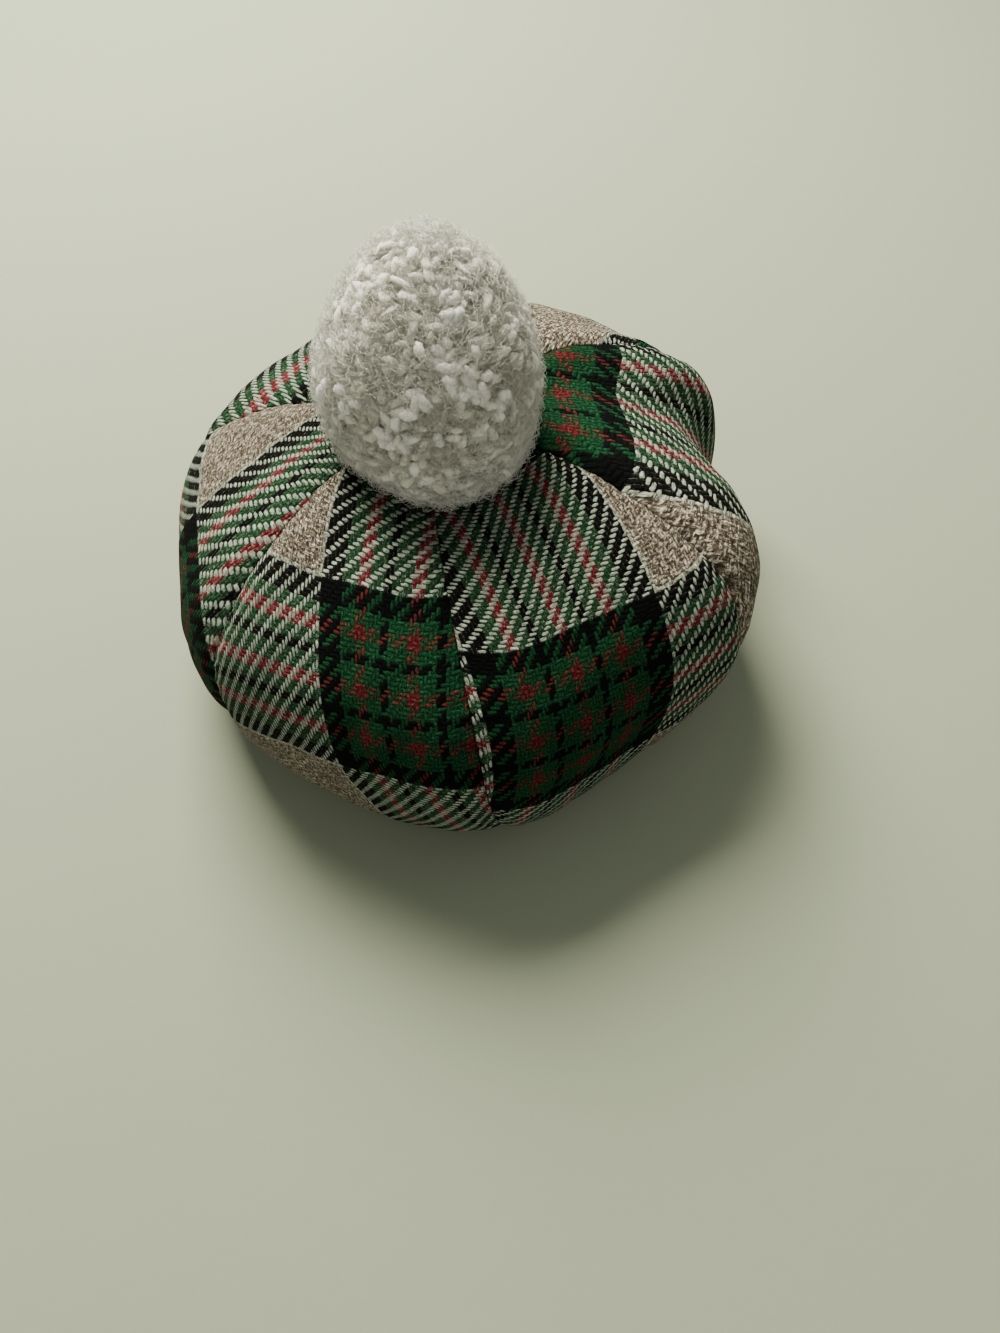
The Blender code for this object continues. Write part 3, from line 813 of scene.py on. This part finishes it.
def free_seats(ways, middle, turn, top, clearance):
    """Points and normals of the ball's skin in these directions, apart from those down on the crown."""
    seats, normals = egg(ways, middle, turn)
    free = (normals[:, 2] > STEEPEST_SEAT) & (seats[:, 2] - top(seats) > clearance)
    return seats[free], normals[free]


def tuft_ways(chance):
    """Directions of the tufts on the ball, a few round the middle of each row of TUFTS."""
    row = np.repeat(np.arange(len(TUFTS)), TUFT["count"].astype(int))
    turn = TUFT["turn"][row] + TUFT["turn_spread"][row] * chance.uniform(-1, 1, len(row))
    rise = TUFT["rise"][row] + TUFT["rise_spread"][row] * chance.uniform(-1, 1, len(row))
    return ball_ways(turn, rise)


def make_core(middle, turn, top, material):
    """Lumpy core that closes the ball under the yarn, darker than it as painted shade of the deep gaps:
    the egg form on a grid of heights and turns, with lumps that are the product of three sines through
    space, and pressed up where the crown is below."""
    height, spin = np.meshgrid(np.linspace(0, math.pi, CORE_DOWN + 1),
                               np.arange(CORE_ROUND) * 2 * math.pi / CORE_ROUND, indexing="ij")
    ways = np.stack([np.sin(height) * np.cos(spin), np.sin(height) * np.sin(spin), np.cos(height)], -1)
    points, normals = egg(ways, middle, turn, inset=CORE_INSET)
    lumps = np.sin(points @ np.array(CORE_WAYS).T).prod(-1)
    points = points + normals * lumps[..., None] * CORE_LUMPS
    points[..., 2] = np.maximum(points[..., 2], np.minimum(top(points) + CORE_CLEARANCE, middle[2]))
    index = np.arange(points.size // 3).reshape(points.shape[:2])
    core = put_mesh("pompom_core", points.reshape(-1, 3) + HAT_SHIFT,
                    grid_quads(np.concatenate([index, index[:, :1]], axis=1)))
    finish_piece(core, material)


def make_yarn_ends(name, paths, radii, swing, shade, sizes, material, nodes):
    """Yarn ends as closed tubes, their skin moved by slow sines, each in its own tone, with painted
    shade that darkens it from its tip towards its root."""
    points, quads, triangles, share = tubes(paths, radii, sizes["sides"], swing)
    points = points + YARN_LUMPS * np.sin(points @ np.array(YARN_LUMP_WAYS).T)
    # Painted shade: each end is darker near its root and lighter towards its tip
    shade = np.repeat(shade, len(share) // len(shade)) * YARN_TONE_AND_ROOT_SHADE[0] + share * YARN_TONE_AND_ROOT_SHADE[1]
    ends = put_mesh(name, points + HAT_SHIFT, quads, triangles, shade=shade)
    finish_piece(ends, material, nodes)


def fibre_paths(chance, roots, out):
    """Paths of loose fibres.  Each lies along the skin, lifts off it by the sine of 2.4 times the share
    of its length, and winds to its side by a sine of five times that share."""
    share = np.linspace(0, 1, FIBRE_RINGS)[None, :, None]
    way = chance.normal(size=roots.shape) + FIBRE_DRIFT
    way -= (way * out).sum(-1, keepdims=True) * out
    way /= np.linalg.norm(way, axis=-1, keepdims=True)
    each = (len(roots), 1, 1)
    reach = chance.uniform(*FIBRE_LENGTH, each)
    lift = FIBRE_LIFT[0] + (FIBRE_LIFT[1] - FIBRE_LIFT[0]) * chance.uniform(0, 1, each) ** 3
    curl = chance.uniform(*FIBRE_CURL, each)
    phase = chance.uniform(0, 6, each)
    winding = curl * (np.sin(5 * share + phase) - np.sin(phase))
    return (roots[:, None] + way[:, None] * reach * share + out[:, None] * lift * np.sin(2.4 * share)
            + np.cross(out, way)[:, None] * winding)


def make_fibres(chance, middle, turn, top, material):
    """Fine loose fibres that wind over the ball, as three-sided tubes in a few pieces."""
    ways = even_ways(FIBRE_PIECES * FIBRES_A_PIECE)
    radii = FIBRE_RADIUS * np.interp(np.linspace(0, 1, FIBRE_RINGS), *FIBRE_PROFILE)
    for number in range(FIBRE_PIECES):
        roots, out = free_seats(ways[number::FIBRE_PIECES], middle, turn, top, FIBRE_SEAT_CLEARANCE)
        hair = fibre_paths(chance, roots, out)
        hair[..., 2] = np.maximum(hair[..., 2], top(hair) + FIBRE_CLEARANCE)
        points, quads, triangles, _ = tubes(hair, np.broadcast_to(radii, hair.shape[:2]), 3, out)
        piece = put_mesh(f"pompom_fibres_{number + 1}", points + HAT_SHIFT, quads, triangles)
        finish_piece(piece, material)


def make_pompom():
    """Dense ball of yarn: a lumpy core painted darker as shade, soft yarn ends half sunk in it, clusters of
    smooth tufts that stand out, glossier and painted lighter as highlight, and fine fibres that wind over
    them all."""
    chance = np.random.default_rng(SEED)
    top = crown_heights()
    middle, turn = pompom_frame(top)
    ball = middle + HAT_SHIFT
    yarn = yarn_material("cream_wool_yarn", ball, **YARN_WOOL)
    tufts = yarn_material("smooth_wool_tufts_painted_highlight", ball, **TUFT_WOOL)
    fibres = yarn_material("loose_wool_fibres", ball, **FIBRE_WOOL)
    make_core(middle, turn, top, yarn_material("packed_wool_yarn_in_painted_shade", ball, **CORE_WOOL))
    groups = (
        ("pompom_yarn_ends", even_ways(YARN_ENDS), SOFT_END, yarn, ("pompom",)),
        ("pompom_smooth_tufts", tuft_ways(chance), TUFT_END, tufts, ()),
    )
    for name, ways, sizes, wool, nodes in groups:
        seats, normals = free_seats(ways, middle, turn, top, YARN_SEAT_CLEARANCE)
        paths, radii, swing = curled_ends(chance, seats, normals, sizes)
        paths[..., 2] = np.maximum(paths[..., 2], top(paths) + radii + YARN_CLEARANCE)
        shade = chance.uniform(0, 1, len(seats))
        make_yarn_ends(name, paths, radii, swing, shade, sizes, wool, nodes)
    make_fibres(chance, middle, turn, top, fibres)


# Materials


def add_node(tree, kind, feeds=None, **settings):
    """Adds a node with its settings; feeds gives each input, by name or number, a value, or a node or
    socket to link."""
    node = tree.nodes.new(kind)
    for name, value in settings.items():
        setattr(node, name, value)
    for key, value in (feeds or {}).items():
        if isinstance(value, bpy.types.Node):
            value = value.outputs[0]
        if isinstance(value, bpy.types.NodeSocket):
            tree.links.new(value, node.inputs[key])
        else:
            node.inputs[key].default_value = value
    return node


def new_material(name, **sockets):
    """Material with a Principled shader whose constants are set on its own sockets."""
    material = bpy.data.materials.new(name)
    material.use_nodes = True
    tree = material.node_tree
    shader = tree.nodes["Principled BSDF"]
    for socket, value in sockets.items():
        shader.inputs[socket.replace("_", " ")].default_value = value
    return material, tree, shader


def set_stops(ramp, stops):
    """Gives a colour ramp its stops from the lowest up, each a position and a colour."""
    elements = ramp.color_ramp.elements
    elements.remove(elements[-1])
    for number, (position, colour) in enumerate(stops):
        stop = elements.new(position) if number else elements[0]
        stop.position = position
        stop.color = colour


def sett_colour(tree, sett, thread, length):
    """Colour and fineness of the yarn with this thread number.  The sett is read at the thread's middle.
    An oatmeal yarn is marled, streaked along its length with brown and off-white fibres, and a white
    one half as much."""
    threads = sum(count for _, count in sett)
    whole = add_node(tree, "ShaderNodeMath", {0: thread}, operation="FLOOR")
    middle = add_node(tree, "ShaderNodeMath", {0: whole, 1: 0.5}, operation="ADD")
    share = add_node(tree, "ShaderNodeMath", {0: middle, 1: 1 / threads}, operation="MULTIPLY")
    wrapped = add_node(tree, "ShaderNodeMath", {0: share, 1: 1.0}, operation="FLOORED_MODULO")
    yarns = add_node(tree, "ShaderNodeValToRGB", {0: wrapped})
    yarns.color_ramp.interpolation = "CONSTANT"
    starts = np.cumsum([0] + [count for _, count in sett[:-1]]) / threads
    set_stops(yarns, [(start, linear(WOOL_COLOURS[yarn])[:3] + (THIN_YARNS[yarn],))
                      for start, (yarn, _) in zip(starts, sett)])
    slow = add_node(tree, "ShaderNodeMath", {0: length, 1: MARL_ALONG}, operation="MULTIPLY")
    apart = add_node(tree, "ShaderNodeMath", {0: whole, 1: MARL_APART}, operation="MULTIPLY")
    inside = add_node(tree, "ShaderNodeMath", {0: thread, 1: MARL_ACROSS, 2: apart},
                      operation="MULTIPLY_ADD")
    spot = add_node(tree, "ShaderNodeCombineXYZ", {0: inside, 1: slow})
    marl = add_node(tree, "ShaderNodeTexNoise", {"Vector": spot, **MARL_NOISE})
    tones = add_node(tree, "ShaderNodeValToRGB", {0: marl})
    set_stops(tones, [(position, linear(colour)) for position, colour in OATMEAL_FIBRES])
    marled = add_node(tree, "ShaderNodeMapRange", {0: yarns.outputs["Alpha"], 1: 0.5, 2: 1.0})
    colour = add_node(tree, "ShaderNodeMix", {0: marled, 6: yarns.outputs["Color"], 7: tones},
                      data_type="RGBA")
    return colour.outputs[2], yarns.outputs["Alpha"]


def float_form(tree, across, along_float):
    """Height of one float of yarn, 0 at its edges and 1 on top: a rounded profile 1 - (2 across - 1)^2
    times one that rises over its length, ends + (1 - ends) sin(pi along)."""
    centred = add_node(tree, "ShaderNodeMath", {0: across, 1: 2.0, 2: -1.0}, operation="MULTIPLY_ADD")
    square = add_node(tree, "ShaderNodeMath", {0: centred, 1: centred}, operation="MULTIPLY")
    profile = add_node(tree, "ShaderNodeMath", {0: 1.0, 1: square}, operation="SUBTRACT")
    angle = add_node(tree, "ShaderNodeMath", {0: along_float, 1: math.pi}, operation="MULTIPLY")
    rise = add_node(tree, "ShaderNodeMath", {0: angle}, operation="SINE")
    lift = add_node(tree, "ShaderNodeMath", {0: rise, 1: 1 - FLOAT_ENDS, 2: FLOAT_ENDS},
                    operation="MULTIPLY_ADD")
    return add_node(tree, "ShaderNodeMath", {0: profile, 1: lift}, operation="MULTIPLY")


def twill_weave(tree, cloth):
    """Two-up two-down twill: each yarn floats over two that cross it, one step further at each thread,
    which draws diagonal ridges.  A noise moves the yarns about, because none is quite straight.
    Returns the place in the warp and in the weft, where the weft is on top, and the floats' height."""
    wander = add_node(tree, "ShaderNodeTexNoise", {"Vector": cloth, **WANDER_NOISE})
    centred = add_node(tree, "ShaderNodeVectorMath", {0: wander.outputs["Color"], 1: (0.5, 0.5, 0.5)},
                       operation="SUBTRACT")
    drift = add_node(tree, "ShaderNodeVectorMath", {0: centred, "Scale": WANDER_REACH}, operation="SCALE")
    uneven = add_node(tree, "ShaderNodeVectorMath", {0: cloth, 1: drift}, operation="ADD")
    axes = add_node(tree, "ShaderNodeSeparateXYZ", {0: uneven})
    warp, weft = axes.outputs[0], axes.outputs[1]
    warp_part = add_node(tree, "ShaderNodeMath", {0: warp, 1: 1.0}, operation="FLOORED_MODULO")
    weft_part = add_node(tree, "ShaderNodeMath", {0: weft, 1: 1.0}, operation="FLOORED_MODULO")
    warp_whole = add_node(tree, "ShaderNodeMath", {0: warp}, operation="FLOOR")
    weft_whole = add_node(tree, "ShaderNodeMath", {0: weft}, operation="FLOOR")
    both = add_node(tree, "ShaderNodeMath", {0: warp_whole, 1: weft_whole}, operation="ADD")
    order = add_node(tree, "ShaderNodeMath", {0: both, 1: 4.0}, operation="FLOORED_MODULO")
    weft_up = add_node(tree, "ShaderNodeMath", {0: order, 1: 1.5}, operation="GREATER_THAN")
    warp_run = add_node(tree, "ShaderNodeMath", {0: order, 1: weft_part}, operation="ADD")
    warp_share = add_node(tree, "ShaderNodeMath", {0: warp_run, 1: 0.5}, operation="MULTIPLY")
    weft_run = add_node(tree, "ShaderNodeMath", {0: order, 1: warp_part}, operation="ADD")
    weft_share = add_node(tree, "ShaderNodeMath", {0: weft_run, 1: 0.5, 2: -1.0}, operation="MULTIPLY_ADD")
    warp_form = float_form(tree, warp_part, warp_share)
    weft_form = float_form(tree, weft_part, weft_share)
    form = add_node(tree, "ShaderNodeMix", {0: weft_up, 2: warp_form, 3: weft_form}, data_type="FLOAT")
    return warp, weft, weft_up, form


def float_cover(tree, form, thin, under_thin, buried):
    """How far the upper yarn hides the lower one, from 0 at its float's edge to 1 inside.  A bulky yarn
    hides it nearly from edge to edge, and a fine one only near its middle, so that it shows as a slim
    dash.  Black crowds in on what crosses it, and dark yarn more so on red."""
    edge = add_node(tree, "ShaderNodeMapRange",
                    {0: thin, 1: 0.0, 2: 0.5, 3: FLOAT_EDGE[0], 4: FLOAT_EDGE[1]})
    crowded = add_node(tree, "ShaderNodeMapRange",
                       {0: under_thin, 1: 0.0, 2: THIN_YARNS["green"], 3: EDGE_OVER_BLACK, 4: 0.0})
    edge = add_node(tree, "ShaderNodeMath", {0: edge, 1: crowded}, operation="ADD")
    edge = add_node(tree, "ShaderNodeMath", {0: buried, 1: EDGE_RED_OVER_DARK, 2: edge},
                    operation="MULTIPLY_ADD")
    under_red = add_node(tree, "ShaderNodeMath", {0: under_thin, 1: THIN_YARNS["red"], 2: SAME_YARN},
                         operation="COMPARE")
    edge = add_node(tree, "ShaderNodeMath", {0: under_red, 1: EDGE_OVER_RED, 2: edge},
                    operation="MULTIPLY_ADD")
    edge_end = add_node(tree, "ShaderNodeMath", {0: edge, 1: FLOAT_EDGE_SOFT}, operation="ADD")
    return add_node(tree, "ShaderNodeMapRange", {0: form, 1: edge, 2: edge_end})


def tartan_yarn(tree, warp, weft, weft_up, form, fibres):
    """Colour and fineness of the yarn that shows at each place of the tartan.  Pale yarn looks paler
    where it crosses a dark one than where it crosses its like.  Red is half buried where it crosses
    dark yarn: its float is narrow there, and green hairs lie over it.  The yarn below sends stray hairs
    up through the one on top, most of all bulky dark yarn through a fine pale one."""
    warp_colour, warp_thin = sett_colour(tree, WARP_SETT, warp, weft)
    weft_colour, weft_thin = sett_colour(tree, WEFT_SETT, weft, warp)
    upper = add_node(tree, "ShaderNodeMix", {0: weft_up, 6: warp_colour, 7: weft_colour}, data_type="RGBA")
    under = add_node(tree, "ShaderNodeMix", {0: weft_up, 6: weft_colour, 7: warp_colour}, data_type="RGBA")
    thin = add_node(tree, "ShaderNodeMix", {0: weft_up, 2: warp_thin, 3: weft_thin}, data_type="FLOAT")
    under_thin = add_node(tree, "ShaderNodeMix", {0: weft_up, 2: weft_thin, 3: warp_thin},
                          data_type="FLOAT")

    oaten = add_node(tree, "ShaderNodeMapRange", {0: thin, 1: 0.5, 2: 1.0, 3: 0.0, 4: OATEN_TO_WHITE})
    alone = add_node(tree, "ShaderNodeMath", {0: oaten, 1: under_thin}, operation="SUBTRACT",
                     use_clamp=True)
    over = add_node(tree, "ShaderNodeMix",
                    {0: alone, 6: upper.outputs[2], 7: linear(WOOL_COLOURS["white"])}, data_type="RGBA")

    is_red = add_node(tree, "ShaderNodeMath", {0: thin, 1: THIN_YARNS["red"], 2: SAME_YARN},
                      operation="COMPARE")
    over_dark = add_node(tree, "ShaderNodeMapRange",
                         {0: under_thin, 1: DARK_YARN[0], 2: DARK_YARN[1], 3: 1.0, 4: 0.0})
    buried = add_node(tree, "ShaderNodeMath", {0: is_red, 1: over_dark}, operation="MULTIPLY")
    hairy = add_node(tree, "ShaderNodeMapRange",
                     {0: fibres, 1: HAIR_SPAN[0], 2: HAIR_SPAN[1], 3: 0.0, 4: HAIRS})
    fuzz = add_node(tree, "ShaderNodeMath", {0: buried, 1: hairy}, operation="MULTIPLY")
    over = add_node(tree, "ShaderNodeMix",
                    {0: fuzz, 6: over.outputs[2], 7: linear(WOOL_COLOURS["green"])}, data_type="RGBA")

    shown = float_cover(tree, form, thin, under_thin, buried)
    under_bulk = add_node(tree, "ShaderNodeMath", {0: UNDER_BULK, 1: under_thin}, operation="SUBTRACT")
    mixing = add_node(tree, "ShaderNodeMath", {0: thin, 1: under_bulk, 2: UNDER_BULK_LEAST},
                      operation="MULTIPLY_ADD", use_clamp=True)
    stray = add_node(tree, "ShaderNodeMath", {0: hairy, 1: mixing}, operation="MULTIPLY")
    solid = add_node(tree, "ShaderNodeMath", {0: 1.0, 1: stray}, operation="SUBTRACT")
    cover = add_node(tree, "ShaderNodeMath", {0: shown, 1: solid}, operation="MULTIPLY")
    yarn = add_node(tree, "ShaderNodeMix", {0: cover, 6: under.outputs[2], 7: over.outputs[2]},
                    data_type="RGBA")
    return yarn.outputs[2], thin


def wool_tone(tree, cloth, lines, fibres, form, thin):
    """How light the wool is at each place: fibres lighter and darker along each float, slow worn
    patches, painted shadow in the gaps between floats and painted light on their tops, and specks,
    which are strong and small in bulky yarn and faint strokes along the fibres in fine yarn."""
    light = add_node(tree, "ShaderNodeMapRange",
                     {0: fibres, 1: FIBRE_SPAN[0], 2: FIBRE_SPAN[1], 3: FIBRE_TONES[0], 4: FIBRE_TONES[1]})
    patches = add_node(tree, "ShaderNodeTexNoise", {"Vector": cloth, **PATCH_NOISE})
    worn = add_node(tree, "ShaderNodeMapRange",
                    {0: patches, 1: PATCH_SPAN[0], 2: PATCH_SPAN[1], 3: PATCH_TONES[0], 4: PATCH_TONES[1]})
    # Painted shade: the wool darkens in the gaps between floats, less beside fine yarn, and is painted
    # lighter on the floats' tops
    shadow = add_node(tree, "ShaderNodeMath", {0: thin, 1: CLOTH_SHADE_FINE, 2: CLOTH_SHADE[0]},
                      operation="MULTIPLY_ADD")
    gap = add_node(tree, "ShaderNodeMapRange",
                   {0: form, 1: 0.0, 2: CLOTH_SHADE_HEIGHT, 3: shadow, 4: CLOTH_SHADE[1]})
    tone = add_node(tree, "ShaderNodeMath", {0: light, 1: worn}, operation="MULTIPLY")
    tone = add_node(tree, "ShaderNodeMath", {0: tone, 1: gap}, operation="MULTIPLY")

    grain = add_node(tree, "ShaderNodeVectorMath", {0: cloth, "Scale": SPECK_GRAIN}, operation="SCALE")
    strokes = add_node(tree, "ShaderNodeMix", {0: thin, 4: grain, 5: lines}, data_type="VECTOR")
    specks = add_node(tree, "ShaderNodeTexNoise", {"Vector": strokes.outputs[1], **SPECK_NOISE})
    contrast = add_node(tree, "ShaderNodeMath", {0: thin, 1: SPECK_STRENGTH[1], 2: SPECK_STRENGTH[0]},
                        operation="MULTIPLY_ADD")
    centred = add_node(tree, "ShaderNodeMath", {0: specks, 1: 0.5}, operation="SUBTRACT")
    speck = add_node(tree, "ShaderNodeMath", {0: centred, 1: contrast, 2: 1.0}, operation="MULTIPLY_ADD")
    speck = add_node(tree, "ShaderNodeMath", {0: speck, 1: SPECK_LEAST}, operation="MAXIMUM")
    return add_node(tree, "ShaderNodeMath", {0: tone, 1: speck}, operation="MULTIPLY")


def twill_material(name, plain=None):
    """Two-up two-down wool twill on the map of thread numbers, in the tartan's yarns or in one plain
    colour.  Coarse carded wool looks matt and hairy: the shade where the yarns shadow each other is
    painted into the colour, stray fibres mix the colours, and no two are as thick.  The pale yarns are
    finer, so their floats show as slim dashes between the bulky dark ones."""
    material, tree, shader = new_material(name, Roughness=0.95, Specular_IOR_Level=0.05)
    cloth = add_node(tree, "ShaderNodeUVMap", uv_map="threads")
    warp, weft, weft_up, form = twill_weave(tree, cloth)
    stretch = add_node(tree, "ShaderNodeMix", {0: weft_up, 4: WARP_FIBRES, 5: WEFT_FIBRES},
                       data_type="VECTOR")
    lines = add_node(tree, "ShaderNodeVectorMath", {0: cloth, 1: stretch.outputs[1]}, operation="MULTIPLY")
    fibres = add_node(tree, "ShaderNodeTexNoise", {"Vector": lines, **FIBRE_NOISE})
    if plain is None:
        yarn, thin = tartan_yarn(tree, warp, weft, weft_up, form, fibres)
    else:
        yarn, thin = linear(plain)[:3], 0.0
    # The tone carries the painted shade in the gaps and the painted light on the floats' tops
    tone = wool_tone(tree, cloth, lines, fibres, form, thin)
    colour = add_node(tree, "ShaderNodeVectorMath", {0: yarn, "Scale": tone}, operation="SCALE")
    tree.links.new(colour.outputs[0], shader.inputs["Base Color"])
    relief = add_node(tree, "ShaderNodeMath", {0: fibres, 1: FIBRE_RELIEF, 2: form},
                      operation="MULTIPLY_ADD")
    bump = add_node(tree, "ShaderNodeBump",
                    {"Height": relief, "Distance": WARP_PITCH * CLOTH_RELIEF, "Strength": 1.0})
    tree.links.new(bump.outputs[0], shader.inputs["Normal"])
    return material


def yarn_material(name, ball, light, deep, follow, by_point=False, **sockets):
    """Soft spun wool yarn: matt, a little translucent, with a pale halo of fibres at grazing angles.
    Its tone follows each yarn's own tone, which is painted darker towards the yarn's root as shade.  Its
    loose fibres scatter light widely, so that the shading follows the whole ball round its middle as
    much as each yarn."""
    soft_wool = {
        "Roughness": 0.85, "Specular_IOR_Level": 0.3, "Sheen_Weight": 0.6, "Sheen_Roughness": 0.4,
        "Subsurface_Weight": 0.5, "Subsurface_Scale": 0.0012, "Subsurface_Radius": (1.0, 0.95, 0.85),
    }
    material, tree, shader = new_material(name, **{**soft_wool, **sockets})
    place = add_node(tree, "ShaderNodeTexCoord").outputs["Object"]
    clouds = add_node(tree, "ShaderNodeTexNoise", {"Vector": place, **CLOUD_NOISE})
    share = add_node(tree, "ShaderNodeMapRange",
                     {0: clouds, 1: CLOUD_SPAN[0], 2: CLOUD_SPAN[1], 3: CLOUD_SHARES[0], 4: CLOUD_SHARES[1]})
    if by_point:
        # Each yarn's own tone, with painted shade near its root
        shade = add_node(tree, "ShaderNodeAttribute", attribute_name="yarn_tone_and_root_shade").outputs["Fac"]
        share = add_node(tree, "ShaderNodeMath", {0: share, 1: SHADE_SHARES[1]}, operation="MULTIPLY")
        share = add_node(tree, "ShaderNodeMath", {0: shade, 1: SHADE_SHARES[0], 2: share},
                         operation="MULTIPLY_ADD")
    colour = add_node(tree, "ShaderNodeMix", {0: share, 6: linear(deep), 7: linear(light)},
                      data_type="RGBA")
    tree.links.new(colour.outputs[2], shader.inputs["Base Color"])

    from_middle = add_node(tree, "ShaderNodeVectorMath", {0: place, 1: tuple(ball)}, operation="SUBTRACT")
    ball_normal = add_node(tree, "ShaderNodeVectorMath", {0: from_middle}, operation="NORMALIZE")
    yarn_normal = add_node(tree, "ShaderNodeNewGeometry").outputs["Normal"]
    blended = add_node(tree, "ShaderNodeMix", {0: follow, 4: yarn_normal, 5: ball_normal},
                       data_type="VECTOR")
    unit = add_node(tree, "ShaderNodeVectorMath", {0: blended.outputs[1]}, operation="NORMALIZE")
    fuzz = add_node(tree, "ShaderNodeTexNoise", {"Vector": place, **FUZZ_NOISE})
    bump = add_node(tree, "ShaderNodeBump",
                    {"Height": fuzz, "Distance": FUZZ_RELIEF, "Strength": 0.8, "Normal": unit})
    tree.links.new(bump.outputs[0], shader.inputs["Normal"])
    return material


def painted_floor_material():
    """Matt emulsion paint: pale, very rough, with a faint unevenness from the roller."""
    material, tree, shader = new_material("matt_emulsion_paint", Roughness=0.9, Specular_IOR_Level=0.2,
                                          Base_Color=linear(FLOOR_COLOUR))
    place = add_node(tree, "ShaderNodeTexCoord").outputs["Object"]
    roller = add_node(tree, "ShaderNodeTexNoise", {"Vector": place, **ROLLER_NOISE})
    bump = add_node(tree, "ShaderNodeBump", {"Height": roller, "Distance": ROLLER_RELIEF, "Strength": 0.4})
    tree.links.new(bump.outputs[0], shader.inputs["Normal"])
    return material


# Stage, light and camera


def make_floor():
    """Plain square floor under the hat."""
    corners = np.array([(-1, -1, 0), (1, -1, 0), (1, 1, 0), (-1, 1, 0)], float) * FLOOR_HALF
    floor = put_mesh("floor", corners - (0, 0, FLOOR_GAP), [(0, 1, 2, 3)])
    floor.data.materials.append(painted_floor_material())


def add_light(name, place, target, side, power, colour):
    """Soft square light at a place, turned to a target."""
    lamp = bpy.data.lights.new(name, "AREA")
    lamp.size, lamp.energy, lamp.color = side, power, colour
    item = bpy.data.objects.new(name, lamp)
    way = np.array(target, float) - place
    item.location = place
    tilt, turn = math.acos(-way[2] / np.linalg.norm(way)), math.atan2(way[0], -way[1]) + math.pi
    item.rotation_euler = (tilt, 0, turn)
    bpy.context.scene.collection.objects.link(item)


def make_light():
    """The lights of LIGHTS and an even pale surround."""
    for light in LIGHTS:
        add_light(*light)
    world = bpy.data.worlds.new("pale_surround")
    world.use_nodes = True
    surround = world.node_tree.nodes["Background"]
    surround.inputs["Color"].default_value = SURROUND_COLOUR
    surround.inputs["Strength"].default_value = SURROUND_STRENGTH
    bpy.context.scene.world = world


def make_camera():
    """Camera where the photograph was taken from.  Its lens is the focal length in pixels over the
    picture's long side, times the sensor's."""
    camera = bpy.data.cameras.new("photo_camera")
    camera.sensor_width = SENSOR_LONG_SIDE
    camera.lens = FOCAL_PIXELS / PICTURE_LONG_SIDE * SENSOR_LONG_SIDE
    camera.clip_start = CLOSEST_VIEW
    item = bpy.data.objects.new("photo_camera", camera)
    item.location = CAMERA_PLACE + HAT_SHIFT
    item.rotation_euler = (math.radians(90 - CAMERA_DOWN), 0, math.radians(-CAMERA_RIGHT))
    bpy.context.scene.collection.objects.link(item)
    bpy.context.scene.camera = item


make_camera()
tartan = twill_material("wool_tartan_twill")
for gore_index in range(GORE_COUNT):
    make_gore(gore_index, tartan)
make_head_band(twill_material("plain_green_wool_twill", plain=BAND_GREEN))
make_pompom()
make_floor()
make_light()
